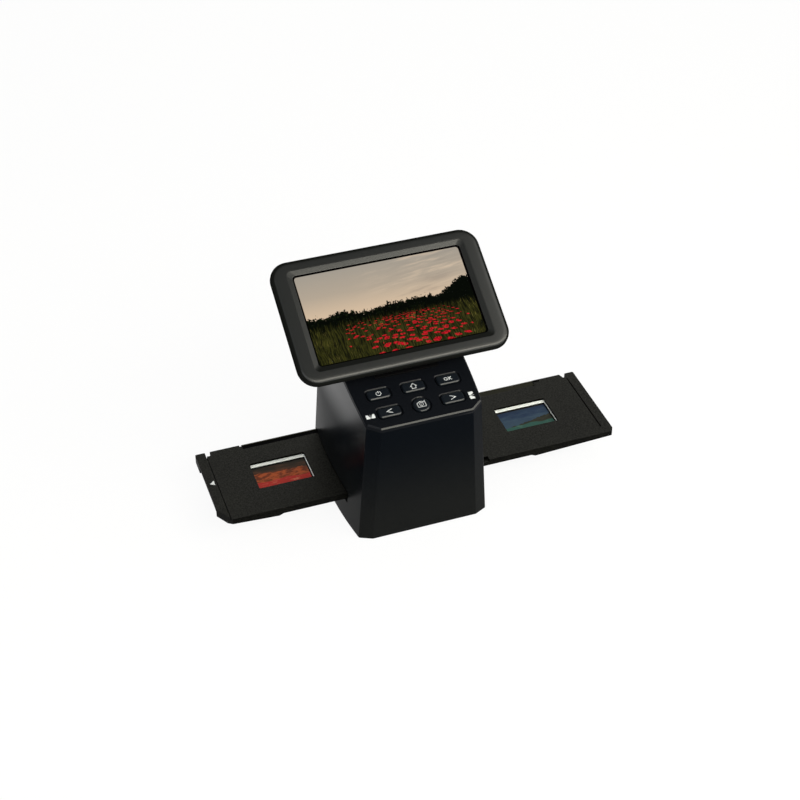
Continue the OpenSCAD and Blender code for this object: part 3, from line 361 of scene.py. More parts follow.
def soften(piece, width, segments=3, angle=32):  # turn the sharp edges
    edge = bevel(piece, width, segments, angle)
    edge.miter_outer = "MITER_ARC"
    edge.use_clamp_overlap = True
    return applied(piece)

replaced = set()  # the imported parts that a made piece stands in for
inPlane = 0.998  # normals that agree this well lie in one plane

def finishPiece(piece, body, slotName, *nodes, material=None, smooth=40, ownFrame=False, flat=None):
    mesh = piece.data
    if not ownFrame:  # a picture keeps its own frame, and every other mesh goes into the shared one
        mesh.transform(piece.matrix_world)
        piece.matrix_world = Matrix.Identity(4)
    mesh.shade_smooth()
    mesh.set_sharp_from_angle(angle=radians(smooth))
    if flat:  # the faces that face this way shade as one plane
        build = bmesh.new()
        build.from_mesh(mesh)
        bmesh.ops.triangulate(build, faces=build.faces)
        build.normal_update()
        for edge in build.edges:
            if len({face.normal.dot(flat) > inPlane for face in edge.link_faces}) == 2:
                edge.smooth = False
        build.to_mesh(mesh)
        build.free()
    even = piece.modifiers.new("even", "WEIGHTED_NORMAL")
    even.keep_sharp, even.weight = True, 100
    mesh.materials.clear()
    mesh.materials.append(material or finishes[slotName])
    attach(piece, body)
    if nodes:
        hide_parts(*nodes)
        replaced.update(nodes)
    return piece


# Camera: the lens and the place that frame the object as seen from the front left

camera = {"lens": 71.6, "azimuth": -19.89, "elevation": 38.99, "roll": 0.44, "distance": 1076.09,
    "aim": (0.0, 0.5, 1.0), "aimRight": 0.52, "aimUp": 52.74}

def direction(azimuth, elevation):  # from the object, in degrees
    az, el = radians(azimuth), radians(elevation)
    return Vector((sin(az) * cos(el), -cos(az) * cos(el), sin(el)))

def setCamera():
    az, roll = radians(camera["azimuth"]), radians(camera["roll"])
    back = direction(camera["azimuth"], camera["elevation"])
    right = Vector((cos(az), sin(az), 0))
    up = back.cross(right)
    across = right * cos(roll) + up * sin(roll)
    upright = up * cos(roll) - right * sin(roll)
    spot = (Vector(camera["aim"]) + back * camera["distance"] + across * camera["aimRight"]
        + upright * camera["aimUp"]) * mm
    eye = bpy.data.objects.new("camera", bpy.data.cameras.new("camera"))
    eye.data.lens, eye.data.sensor_width = camera["lens"], 36
    eye.matrix_world = Matrix.Translation(spot) @ Matrix((across, upright, back)).transposed().to_4x4()
    bpy.context.scene.collection.objects.link(eye)
    bpy.context.scene.camera = eye

setCamera()


# Studio: pale floor, a bright surround at the horizon, a dimmer ceiling and soft lamps round the object

studio = {
    "floorSize": 60.0, "floorTone": (246, 246, 246), "floorMark": (226, 226, 226), "floorGlow": 0.92,
    "horizon": (1.0, 1.0, 1.0), "ceiling": (0.24, 0.25, 0.26), "ceilingFrom": 0.12, "ceilingFull": 0.62,
    "lampAim": (0, 0, 0.08),
    "lamps": {  # azimuth, elevation, distance, size, radiance, tint
        "keyBox": (21, 41, 1.2, (1.5, 0.5), 7.0, (1.0, 0.97, 0.84)),
        "sideBox": (80, 52, 0.6, (0.2, 0.2), 3.0, (1.0, 0.98, 0.9)),
        "lowBox": (68, 24, 1.2, (0.32, 0.3), 6.0, (1.0, 0.97, 0.84)),
        "backBox": (163, 38, 1.4, (1.2, 0.6), 2.1, (1.0, 0.99, 0.84)),
        "leftBox": (-62, 48, 1.6, (0.9, 0.9), 1.5, (0.94, 0.97, 1.0)),
    },
}

def setStudio():
    scene = bpy.context.scene
    scene.view_settings.view_transform = "Standard"
    half = studio["floorSize"] / 2
    mesh = bpy.data.meshes.new("floor")
    mesh.from_pydata([(-half, -half, 0), (half, -half, 0), (half, half, 0), (-half, half, 0)], [],
        [(0, 1, 2, 3)])
    floor = bpy.data.objects.new("floor", mesh)
    scene.collection.objects.link(floor)
    finish = Finish("floorPale", rough=0.9, gloss=0.0)
    speckle = finish.noise(finish.place(), 40.0, 2.0)
    finish.give("Base Color",
        finish.mix(speckle * 0.2, tone(*studio["floorTone"]), tone(*studio["floorMark"])))
    path = finish.add("ShaderNodeLightPath").socket.node.outputs
    seen = (Reading(finish, path["Is Camera Ray"]) + Reading(finish, path["Is Glossy Ray"])
        + Reading(finish, path["Is Transmission Ray"])).smallest(1.0)
    glow = finish.add("ShaderNodeEmission", sockets={"Color": white, "Strength": 1.0})
    mixed = finish.add("ShaderNodeMixShader", sockets={
        0: seen * studio["floorGlow"], 1: Reading(finish, finish.shader.outputs[0]), 2: glow})
    finish.feed(finish.output.inputs["Surface"], mixed)
    mesh.materials.append(finish.material)

    world = bpy.data.worlds.new("surround")
    scene.world = world
    sky = Nodes(world)
    rise = sky.apart(sky.place("Generated"))[2]
    sky.feed(sky.tree.nodes["Background"].inputs["Color"],
        sky.mix(rise.step(studio["ceilingFrom"], studio["ceilingFull"]), studio["horizon"],
            studio["ceiling"]))

    for name, (azimuth, elevation, distance, size, radiance, tint) in studio["lamps"].items():
        light = bpy.data.lights.new(name, "AREA")
        light.shape, (light.size, light.size_y) = "RECTANGLE", size
        light.color, light.energy = tint, radiance * pi * size[0] * size[1]
        away = direction(azimuth, elevation)
        box = bpy.data.objects.new(name, light)
        box.matrix_world = (Matrix.Translation(Vector(studio["lampAim"]) + away * distance)
            @ away.to_track_quat("Z", "Y").to_matrix().to_4x4())
        scene.collection.objects.link(box)

setStudio()
print("camera and studio set")


# Body shell: bowed, tapering sides and cut front corners

body = {
    "baseWidth": 97.4, "topWidth": 80.2, "baseCorner": 88.2, "topCorner": 76.0, "baseFlat": 71.6,
    "topFlat": 60.4, "baseChamfer": 3.9, "topChamfer": 5.7, "front": -49.5, "back": 49.5, "topFront": -50.65,
    "widest": 5.5, "backRadius": 4.0, "wall": 2.2, "sill": 1.0, "topHeight": 92.8, "tilt": 12.0,
    "panelThickness": 3.0, "cornerTurn": 1.5, "rows": 14, "sideSteps": 18, "seam": 0.1,
    "edge": 0.25,
}
tilt = radians(body["tilt"])
panelPlace = (Matrix.Translation(Vector((0, body["topFront"], body["topHeight"])) * mm)
    @ Matrix.Rotation(tilt, 4, "X"))

def bodyOutline(level, inset):  # from the front's middle round the right side to the back, then mirrored
    width, corner, flat, chamfer = (body[level + k] for k in ("Width", "Corner", "Flat", "Chamfer"))
    front = body["front"] if level == "base" else body["topFront"]
    width, corner, flat = width - 2 * inset, corner - 2 * inset, flat - inset
    front, back, turn = front + inset, body["back"] - inset, max(body["backRadius"] - inset, 0.5)
    cut = front + chamfer

    def bow(y):
        return width / 2 - (width - corner) / 2 * ((y - body["widest"]) / (cut - body["widest"])) ** 2

    end = back - turn
    corners = [(0.0, front), (flat / 2, front)]
    corners += [(bow(y), y) for y in (cut + (end - cut) * i / body["sideSteps"]
        for i in range(body["sideSteps"] + 1))]
    middle = bow(end) - turn
    corners += [(middle + turn * cos(a), end + turn * sin(a)) for a in (radians(15 * k) for k in range(1, 7))]
    corners.append((0.0, back))
    radii = [0, body["cornerTurn"], body["cornerTurn"]] + [0] * (len(corners) - 3)
    side = rounded([*corners, (-1.0, back), (-1.0, front)], [*radii, 0, 0], 5)[:-2]
    return side + [(-x, y) for x, y in side[-2:0:-1]]

def bodyPoint(base, top, drop):  # a line up the side, cut off at drop below the panel's top plane
    low = Vector((base[0], base[1], body["sill"]))
    high = Vector((top[0], top[1], body["topHeight"] + (top[1] - body["topFront"]) * tan(tilt)))
    normal = Vector((0, -sin(tilt), cos(tilt)))
    share = 1 - drop / (high - low).dot(normal) if drop else 1
    return low, low + (high - low) * share

def bodySkin(inset, drop):
    return [bodyPoint(b, t, drop) for b, t in zip(bodyOutline("base", inset), bodyOutline("top", inset))]

slot = {"gap": 0.3, "flare": 3.2, "outer": 49.7, "inner": 43.9, "reach": 80}
rearOpening = {"play": 0.2, "height": 26, "turn": 1.0, "middle": 79, "depth": 12, "from": 55}
holderLow, holderHigh = (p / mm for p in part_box("holder_base"))

def slotTools():
    low, high = holderLow.z - slot["gap"], holderHigh.z + slot["gap"]
    front, back = holderLow.y - slot["gap"], holderHigh.y + slot["gap"]
    reach = slot["reach"]
    tools = [slab("slotTool", [(-reach, front), (reach, front), (reach, back), (-reach, back)], low, high)]
    grow = slot["flare"] - slot["gap"]
    for side in (-1, 1):
        rings = [[(side * x, front - g, low - g), (side * x, back + g, low - g),
            (side * x, back + g, high + g), (side * x, front - g, high + g)]
            for x, g in ((slot["inner"], 0), (slot["outer"], grow))]
        tools.append(loft("mouthTool", rings))
    return tools

def makeBody():
    outer, inner = (bodySkin(i, body["panelThickness"] + body["seam"] / 2) for i in (0, body["wall"]))
    shares = [i / body["rows"] for i in range(body["rows"] + 1)]
    rings = [[low.lerp(high, s) for low, high in outer] for s in shares]
    rings += [[low.lerp(high, s) for low, high in inner] for s in reversed(shares)]
    shell = loft("bodyShell", rings, closed=True)
    coverLow, coverHigh = (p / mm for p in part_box("rear_cover"))
    o = rearOpening
    opening = slab("openingTool", roundedBox(coverHigh.x - coverLow.x + o["play"], o["height"], o["turn"], 4,
        y=o["middle"]), 0, o["depth"],
        Matrix.Translation((0, o["from"] * mm, 0)) @ Matrix.Rotation(radians(90), 4, "X"))
    carve(shell, slotTools() + [opening])
    soften(shell, body["edge"])
    finishPiece(shell, "scanner_body", "black_shell", "housing")

makeBody()
print("body shell made")


# Key panel: a bevelled slab with a shallow well and a hole for each key

panel = {
    "bevel": 0.7,
    "wellProfile": [(0.25, -8.0), (0.25, -1.2), (0.85, -1.2), (0.85, -0.55), (1.4, 0.0), (1.6, 2.0)],
    "lipInset": 2.5, "lipWidth": 1.4, "lipDepth": 2.0, "lipRoot": 0.5, "edge": 0.15,
    "keys": {"power_key": (-23.1, 27.1), "home_key": (0.0, 27.1), "ok_key": (23.1, 27.1),
        "left_key": (-20.9, 11.9), "capture_key": (0.0, 11.9), "right_key": (20.9, 11.9)},
    "keySize": (14.5, 7.4), "keyRadius": 1.8, "roundKey": 10.9,
}

def keyOutline(name, grow, shift=False):
    x, y = panel["keys"][name] if shift else (0, 0)
    if name == "capture_key":
        return circle(panel["roundKey"] / 2 + grow, steps=56, x=x, y=y)
    width, height = (s + 2 * grow for s in panel["keySize"])
    return roundedBox(width, height, panel["keyRadius"] + grow, 8, x, y)

def inPanel(point):  # a point of the body, in the panel's own frame
    return tuple(panelPlace.inverted() @ (Vector(point) * mm) / mm)

def panelRing(inset, drop):
    return [inPanel(high) for low, high in bodySkin(inset, drop)]

def makePanel():
    thick, bevelled = body["panelThickness"], panel["bevel"]
    rings = [panelRing(0, thick - body["seam"] / 2), panelRing(0, bevelled), panelRing(bevelled, 0)]
    plate = loft("keyPanel", rings, panelPlace)
    wells = [[level(keyOutline(name, grow, True), z) for grow, z in panel["wellProfile"]]
        for name in panel["keys"]]
    carve(plate, [loft("wellTool", rings, panelPlace) for rings in wells])
    near, far = panel["lipInset"], panel["lipInset"] + panel["lipWidth"]
    root, end = thick - panel["lipRoot"], thick + panel["lipDepth"]
    lip = [panelRing(*ring) for ring in ((near, root), (near, end), (far, end), (far, root))]
    carve(plate, [loft("lipTool", lip, panelPlace, closed=True)], "UNION")
    soften(plate, panel["edge"])
    finishPiece(plate, "scanner_body", "panel_black", "control_panel",
        flat=panelPlace.to_3x3() @ Vector((0, 0, 1)))

keyCap = {"proud": 0.7,
    "edge": [(0.0, -0.02), (-0.03, 0.07), (-0.1, 0.16), (-0.62, 0.57), (-0.78, 0.66), (-1.0, 0.7)],
    "collarTop": -3.1, "collarThick": 0.8, "collarGrow": 1.0, "stem": 4.0, "stemEnd": -4.6}

def makeKey(name):
    place = panelPlace @ Matrix.Translation(Vector((*panel["keys"][name], 0)) * mm)
    low = keyCap["collarTop"] - keyCap["collarThick"]
    stem = keyOutline(name, 0)
    reach = max(x for x, y in stem), max(y for x, y in stem)
    stem = [(x / reach[0] * keyCap["stem"] / 2, y / reach[1] * keyCap["stem"] / 2) for x, y in stem]
    rings = [level(stem, z) for z in (keyCap["stemEnd"], low)]
    levels = [(keyCap["collarGrow"], low), (keyCap["collarGrow"], keyCap["collarTop"]),
        (0, keyCap["collarTop"]),
        *keyCap["edge"]]
    rings += [level(keyOutline(name, grow), z) for grow, z in levels]
    cap = loft(name.replace("_key", "Key"), rings, place)
    finishPiece(cap, name, "key_black", name, smooth=50)
    return place


# Printed marks: thin raised ink, strokes and filled shapes joined into one piece

def strokeEdges(line, width, closed):
    sides = ([], [])
    count = len(line)
    for i, point in enumerate(line):
        here = Vector(point)
        before = Vector(line[i - 1]) if closed or i else None
        after = Vector(line[(i + 1) % count]) if closed or i < count - 1 else None
        into = (here - before).normalized() if before is not None else (after - here).normalized()
        out = (after - here).normalized() if after is not None else into
        across = Vector((-into.y - out.y, into.x + out.x)).normalized()
        reach = width / 2 / max(across.dot(Vector((-into.y, into.x))), 0.35)
        sides[0].append(tuple(here + across * reach))
        sides[1].append(tuple(here - across * reach))
    return sides

ink = (-0.03, 0.05)  # underside and top

def inkMark(name, strokes, fills, place, bodyName):  # strokes are (points, width, closed)
    low, high = ink
    parts = []
    for line, width, closed in strokes:
        left, right = strokeEdges(line, width, closed)
        if closed:
            rings = [level(side, z) for side, z in
                ((left, low), (left, high), (right, high), (right, low))]
            parts.append(loft("inkTool", rings, place, closed=True))
        else:
            parts.append(slab("inkTool", left + right[::-1], low, high, place))
    parts += [slab("inkTool", fill, low, high, place) for fill in fills]
    mark = parts[0]
    mark.name = mark.data.name = name
    carve(mark, parts[1:], "UNION")
    finishPiece(mark, bodyName, "mount_white", material=finishes["ink_white"])

marks = {
    "power": {"ring": 1.6, "stroke": 0.36, "gap": 34, "bar": (1.95, 0.1)},
    "house": {"line": [(-1.3, -1.95), (1.3, -1.95), (1.3, -0.1), (2.0, -0.1), (0.0, 2.1), (-2.0, -0.1),
        (-1.3, -0.1)], "stroke": 0.36},
    "ok": {"stroke": 0.38, "oSize": (1.95, 2.2), "oTurn": 1.1, "oCentre": -1.45, "kBar": 0.6,
        "kFork": (1.05, 0.1),
        "kArm": 2.35, "height": 2.75},
    "arrow": {"line": [(1.75, 1.6), (-1.75, 0.0), (1.75, -1.6)], "stroke": 0.4},
    "camera": {"line": [(-2.65, -2.1), (2.65, -2.1), (2.65, 1.4), (1.45, 1.4), (0.9, 2.15), (-0.9, 2.15),
        (-1.45, 1.4), (-2.65, 1.4)], "turn": 0.5, "stroke": 0.32, "ring": 1.2,
        "ringStroke": 0.272, "dot": 0.22, "flash": (1.9, 2.8, 1.95, 2.3)},
    "wedge": {"outer": (2.85, 1.55), "blunt": 1.55, "inner": (0.4, -0.45), "axis": 0.22},
    "mirrorAt": (-33.6, 11.3), "flipAt": (33.0, 10.7),
}

def makeMarks(places):
    def onKey(name, key, strokes, fills=()):
        inkMark(name, strokes, fills, places[key] @ Matrix.Translation((0, 0, keyCap["proud"] * mm)), key)

    power, ok, arrow, lens = (marks[name] for name in ("power", "ok", "arrow", "camera"))
    onKey("powerMark", "power_key",
        [(circle(power["ring"], 90 + power["gap"], 450 - power["gap"]), power["stroke"], False),
            ([(0, y) for y in power["bar"]], power["stroke"], False)])
    onKey("houseMark", "home_key", [(marks["house"]["line"], marks["house"]["stroke"], True)])
    half, bar, arm = ok["height"] / 2, ok["kBar"], ok["kArm"]
    onKey("okMark", "ok_key",
        [(roundedBox(*ok["oSize"], ok["oTurn"], 6, x=ok["oCentre"]), ok["stroke"], True),
        ([(bar, -half), (bar, half)], ok["stroke"], False),
        ([(arm, half), ok["kFork"], (arm, -half)], ok["stroke"], False)])
    for name, turn in (("left", 1), ("right", -1)):
        onKey(name + "Mark", name + "_key",
            [([(x * turn, y) for x, y in arrow["line"]], arrow["stroke"], False)])
    x0, x1, y0, y1 = lens["flash"]
    onKey("cameraMark", "capture_key", [(rounded(lens["line"], lens["turn"], 4), lens["stroke"], True),
        (circle(lens["ring"]), lens["ringStroke"], True)],
        [circle(lens["dot"], steps=16), [(x0, y0), (x1, y0), (x1, y1), (x0, y1)]])
    wedge = marks["wedge"]
    (x1, y1), (x0, y0) = wedge["outer"], wedge["inner"]
    halves = [[(side * x, y) for x, y in ((x1, -y1), (x0, -y1), (x0, y0), (wedge["blunt"], y1), (x1, y1))]
        for side in (-1, 1)]
    axis = ([(0, -y1), (0, y1)], wedge["axis"], False)
    for name, turn in (("mirror", 0), ("flip", -90)):
        place = (panelPlace @ Matrix.Translation(Vector((*marks[name + "At"], 0)) * mm)
            @ Matrix.Rotation(radians(turn), 4, "Z"))
        inkMark(name + "Mark", [axis], halves, place, "scanner_body")

makePanel()
makeMarks({name: makeKey(name) for name in panel["keys"]})
print("key panel, keys and marks made")


# Display: frame with a rounded rim and an inner slope, picture, rear half with the hinge barrel

display = {  # a row of a rim or a slope gives its inset or growth, its corners' growth and its height
    "tilt": 29.15, "drop": 35.7, "axisBack": 9.2, "size": (140.5, 86.5), "radius": 12.5, "parting": 3.0,
    "rim": [(0.0, -3.0), (0.0, -1.2), (0.12, -0.4), (0.45, 0.35), (1.0, 1.0), (1.8, 1.5), (2.8, 1.82),
        (4.5, 1.97)],
    "picture": (110.7, 62.3), "pictureTurn": 1.9,
    "slopeTop": [(5.2, 4.8, 2.0), (4.5, 3.8, 1.99), (4.15, 3.2, 1.9)],
    "slopeFoot": [(1.2, 2.8, 1.02), (1.05, 2.6, 0.98), (0.95, 2.4, 0.9)],
    "glassMargin": 3.0, "glassTurn": 1.0, "glassPlay": 0.2, "glass": 2.2, "foot": 0.9, "wall": 3.0,
    "cavity": -1.2,
    "backFloor": -4.0, "backWall": 2.5, "backStep": 0.3, "back": -5.5,
    "backRim": [(0.3, 1.7), (0.55, 1.0), (1.05, 0.4), (1.6, 0.08), (2.5, 0.0)], "backEdge": 0.2,
    "barrel": (3.4, 31.4), "pinHole": 1.55, "neck": (5.2, 0.5),
    "screwAt": (64.3, 29.75), "screwHole": 2.05, "screwFloor": -3.2, "boss": (2.8, 0.3),
}
hinge = Vector(joints["display_tilt"]["pos_m"])
displayPlace = (Matrix.Translation(hinge) @ Matrix.Rotation(radians(display["tilt"]), 4, "X")
    @ Matrix.Translation(Vector((0, display["drop"], display["axisBack"])) * mm))

def displayRing(inset, z):
    width, height = (s - 2 * inset for s in display["size"])
    return level(roundedBox(width, height, max(display["radius"] - inset, 1.2), 12), z)

def pictureRing(grow, radius, z):
    width, height = (s + 2 * grow for s in display["picture"])
    return level(roundedBox(width, height, radius, 12), z)

def makeDisplayFrame():
    d = display
    gap = body["seam"] / 2
    rings = [displayRing(inset, z + (gap if z == d["rim"][0][1] else 0)) for inset, z in d["rim"]]
    rings += [pictureRing(*row) for row in d["slopeTop"] + d["slopeFoot"]]
    rings += [pictureRing(d["glassMargin"], d["glassTurn"], z) for z in (d["foot"], d["cavity"])]
    rings += [displayRing(d["wall"], z) for z in (d["cavity"], -d["parting"] + gap)]
    finishPiece(loft("displayFrame", rings, displayPlace, closed=True), "display", "bezel_grey",
        "display_bezel", smooth=35)

def makeDisplayBack():
    d = display
    gap = body["seam"] / 2
    joint = -d["parting"] - gap
    rings = [displayRing(d["backWall"], d["backFloor"]), displayRing(d["backWall"], joint),
        displayRing(d["backStep"], joint)]
    rings += [displayRing(inset, d["back"] + rise) for inset, rise in d["backRim"]]
    cover = loft("displayBack", rings, displayPlace)
    radius, length = d["barrel"]
    neckWidth, neckSink = d["neck"]
    bossRadius, bossSink = d["boss"]
    along = Matrix.Translation(hinge) @ Matrix.Rotation(radians(90), 4, "Y")
    barrel = slab("barrelTool", circle(radius, steps=48), -length / 2, length / 2, along)
    pin = slab("pinTool", circle(d["pinHole"], steps=32), -length, length, along)
    neck = boxTool(-length / 2, length / 2, -neckWidth / 2, neckWidth / 2, -d["axisBack"],
        d["back"] + neckSink,
        displayPlace @ Matrix.Translation((0, -d["drop"] * mm, 0)))
    spots = [(sx * d["screwAt"][0], sy * d["screwAt"][1]) for sx in (-1, 1) for sy in (-1, 1)]
    bosses = [slab("bossTool", circle(bossRadius, steps=32, x=x, y=y), d["backFloor"] - bossSink, joint,
        displayPlace) for x, y in spots]
    carve(cover, [barrel, neck] + bosses, "UNION")
    carve(cover, [pin] + [slab("screwTool", circle(d["screwHole"], steps=32, x=x, y=y), d["back"] - 1,
        d["screwFloor"], displayPlace) for x, y in spots])
    soften(cover, d["backEdge"], 2, 40)
    finishPiece(cover, "display", "dark_plastic", "display_back_cover", smooth=35)


# The picture on the screen: a meadow at dusk under a pale sky, with a few red flowers

meadow = {"skyTop": (166, 158, 146), "skyMiddle": (182, 168, 150), "skyLow": (214, 190, 162),
    "cloud": (220, 198, 172), "skyShade": (140, 128, 120), "hedge": (4, 7, 3), "leaf": (34, 44, 20),
    "grassDark": (14, 16, 7), "grass": (54, 54, 20), "blade": (124, 116, 56), "flower": (204, 28, 40),
    "flowerDark": (118, 10, 20)}

def meadowFinish():
    finish = Finish("screenPicture", colour=black, rough=0.25, gloss=0.02, glow=1.0)
    mix, field = finish.mix, finish.field
    x, y = finish.apart(finish.place())[:2]
    width, height = (s * mm for s in display["picture"])
    u, v = x / width + 0.5, y / height + 0.5
    tones = {name: tone(*value) for name, value in meadow.items()}
    sky = finish.ramp(v, [(0.52, tones["skyLow"]), (0.74, tones["skyMiddle"]), (1.0, tones["skyTop"])])
    streaks = field(u * 3.0 - v * 1.2, v * 13.0 - u * 2.0, 0.0, 5.0, 0.62)
    cloud = streaks.step(0.46, 0.7) * u.step(0.25, 0.8) * v.step(0.45, 0.6) * 0.8
    colour = mix(cloud, sky, tones["cloud"])
    shadow = (1 - streaks.step(0.3, 0.48)) * u.step(0.35, 0.75) * 0.35
    colour = mix(shadow, colour, tones["skyShade"])
    # hedge: a low wavy line with leafy edges, taller at the right
    crown = field(u * 7.0, 3.1, 0.0, 3.0, 0.6)
    leaves = field(u * 42.0, v * 26.0, 0.0, 3.0, 0.7)
    tips = field(u * 110.0, v * 40.0, 5.0, 2.0, 0.6)
    edge = (0.43 + crown * 0.17 + (leaves - 0.5) * 0.12 + (tips - 0.5) * 0.1 + u.step(0.5, 0.7) * 0.02
        + u.step(0.8, 0.98) * 0.14)
    lightLeaf = leaves.step(0.5, 0.75) * tips.step(0.4, 0.6) * (1 - u.step(0.4, 0.8) * 0.8)
    hedge = mix(lightLeaf, tones["hedge"], tones["leaf"])
    colour = mix((edge - v).step(0.0, 0.012), colour, hedge)
    # grass: leaning blades, darker towards the hedge
    bend = field(u * 5.0, v * 3.0, 9.0, 2.0) - 0.5
    lean = u + bend * 0.06 + v * 0.035
    blades = field(lean * 120.0, v * 7.0, 0.0, 3.0, 0.65)
    fine = field(lean * 260.0, v * 11.0, 4.0, 2.0, 0.6)
    clumps = field(u * 9.0, v * 6.0, 2.0, 2.0)
    grass = mix(blades.step(0.38, 0.62), tones["grassDark"], tones["grass"])
    grass = mix(fine.step(0.54, 0.72) * clumps.step(0.35, 0.65) * 0.85, grass, tones["blade"])
    top = 0.4 + (blades - 0.5) * 0.22 + (fine - 0.5) * 0.08
    colour = mix((top - v).step(-0.03, 0.09), colour, grass)
    # flowers: a drift of heads among the blades, smaller and closer together towards the hedge
    depth = 1 / (0.62 - v)
    cells = {"voronoi_dimensions": "2D", "feature": "F1"}, {
        "Vector": finish.together((u - 0.5) * depth * 9.0, depth * 7.0), "Scale": 1.0, "Randomness": 1.0}
    distance = finish.add("ShaderNodeTexVoronoi", *cells)
    chance = finish.apart(finish.add("ShaderNodeTexVoronoi", *cells, output="Color"))[0]
    petal = field(u * 90.0, v * 60.0, 7.0, 2.0) - 0.5
    drift = field(u * 3.5, v * 3.0, 12.0, 2.0) - 0.5
    spread = 0.95 - ((u - 0.56).size() * 2.4) ** 2.0 - ((v - 0.12).size() * 2.3) ** 2.0 + drift * 1.6
    heads = (0.34 + petal * 0.25 - distance).step(0.0, 0.05) * (chance < spread) * (1 - v.step(0.36, 0.4))
    heads = heads * (1 - fine.step(0.6, 0.66) * 0.8)
    flower = mix((petal + 0.5).step(0.35, 0.6), tones["flowerDark"], tones["flower"])
    colour = mix(heads, colour, flower)
    # black border round the lit field, whose corners are turned
    turn = display["pictureTurn"] * mm
    acrossOver = (x.size() - (width / 2 - turn)).largest(0.0)
    alongOver = (y.size() - (height / 2 - turn)).largest(0.0)
    lit = 1 - ((acrossOver ** 2.0 + alongOver ** 2.0) ** 0.5 - turn).step(-0.1 * mm, 0.05 * mm)
    finish.give("Emission Color", mix(lit, black, colour))
    return finish.material

def makeScreen():
    d = display
    outline = roundedBox(*(s + 2 * d["glassMargin"] - d["glassPlay"] for s in d["picture"]), d["glassTurn"],
        4)
    screen = slab("pictureScreen", outline, -d["glass"], 0, displayPlace)
    finishPiece(screen, "display", "lcd_picture", "lcd_panel", material=meadowFinish(), ownFrame=True)

makeDisplayFrame()
makeDisplayBack()
makeScreen()
print("display made")


# Film holder: lower leaf with raised ends, lid with four windows, slides in card mounts

holder = {
    "at": (8.3, 9.7, 17.25), "size": (275.2, 68.7, 6.3), "back": 33.3, "leaf": 4.6, "lidLow": 4.7,
    "strip": 6.6,
    "cornerRight": (1.8, 3.6), "cornerLeft": (7.7, 12.9),  # along the front, along the end
    "turns": [0.8, 0.8, 0.8, 0.3, 0.4, 0.4, 0.3],
    "notch": (3.4, 4.0, 0.7),  # width, depth, lean of its side
    "pitch": 58.1, "window": (37.5, 25.5), "windowRadius": 1.0, "pocket": 50.4, "pocketFloor": 2.6,
    "step": (-98.3, 78.5, 1.6, 2.0, 3.0),  # left, right, how far in, height, lean
    "grip": (5.0, 13.0, 11.7, 4.3),  # width, margins at front and back, height
    "rise": (0.7, 3.3, 5.0),  # lowest, highest, how far in
    "lidGap": (0.5, 0.85), "bridge": 7.0, "edge": 0.3,
    "rim": (4.6, 0.5, 211.8, 1.1),  # width, drop, length, slope of its right half
    "lip": (0.75, 0.05, 0.1, 0.15),  # width, how far in, margin at the ends, edge
    "strips": (0.4, 0.3, 0.06, 0.05),  # shorter than the rim by, corners, height, edge
    "sink": 0.2,  # how far lip and strips go into the lid
    "lidHoles": [(42.2, 46.0, -36.4, -31.8), (-46.0, -42.2, -36.4, -31.8), (-107.4, -105.95, 31.9, 35.0),
        (106.4, 110.8, 30.9, 32.9), (104.4, 105.6, 27.4, 28.8)],
    "padded": 2, "pad": (0.1, 0.4),  # the last holes have a black floor, painted shade in the holes: margin, thickness
    "arrow": [(-135.4, 2.0), (-132.3, -0.1), (-132.2, 4.5)],
    "mount": (50.0, 1.9, 1.0, 0.2),  # width, thickness, corners, edge
    "aperture": (36.9, 23.2), "apertureTurn": 0.6, "apertureShift": -0.65,
    "film": (38.3, 24.6, 3.35, 3.55), "filmTurn": 0.4, "filmPlay": 0.2, "filmBedTurn": 0.5,
}
above, beyond = 9, 60  # tools reach past the holder's top and its long sides
holderPlace = Matrix.Translation(Vector(holder["at"]) * mm)
frameCentres = [holder["pitch"] * (i - 1.5) for i in range(4)]

def holderOutline():
    length, width, thick = holder["size"]
    end, back, front = length / 2, holder["back"], holder["back"] - width
    notchWidth, notchDepth, lean = holder["notch"]
    n1 = end - holder["strip"]
    n0 = n1 - notchWidth
    sides = [[(end - along, front), (end, front + deep), (end, back), (n1, back), (n1, back - notchDepth),
        (n0 + slant, back - notchDepth), (n0 - slant, back)]
        for slant, (along, deep) in ((lean, holder["cornerRight"]), (0, holder["cornerLeft"]))]
    turns = holder["turns"]
    return rounded(sides[0] + [(-x, y) for x, y in sides[1][::-1]], turns + turns[::-1], 4)

def holderBox(x0, x1, y0, y1, z0, z1):
    return boxTool(x0, x1, y0, y1, z0, z1, holderPlace)

def windowTools():
    return [slab("windowTool", roundedBox(*holder["window"], holder["windowRadius"], 4, x=x), -1, above,
        holderPlace)
        for x in frameCentres]

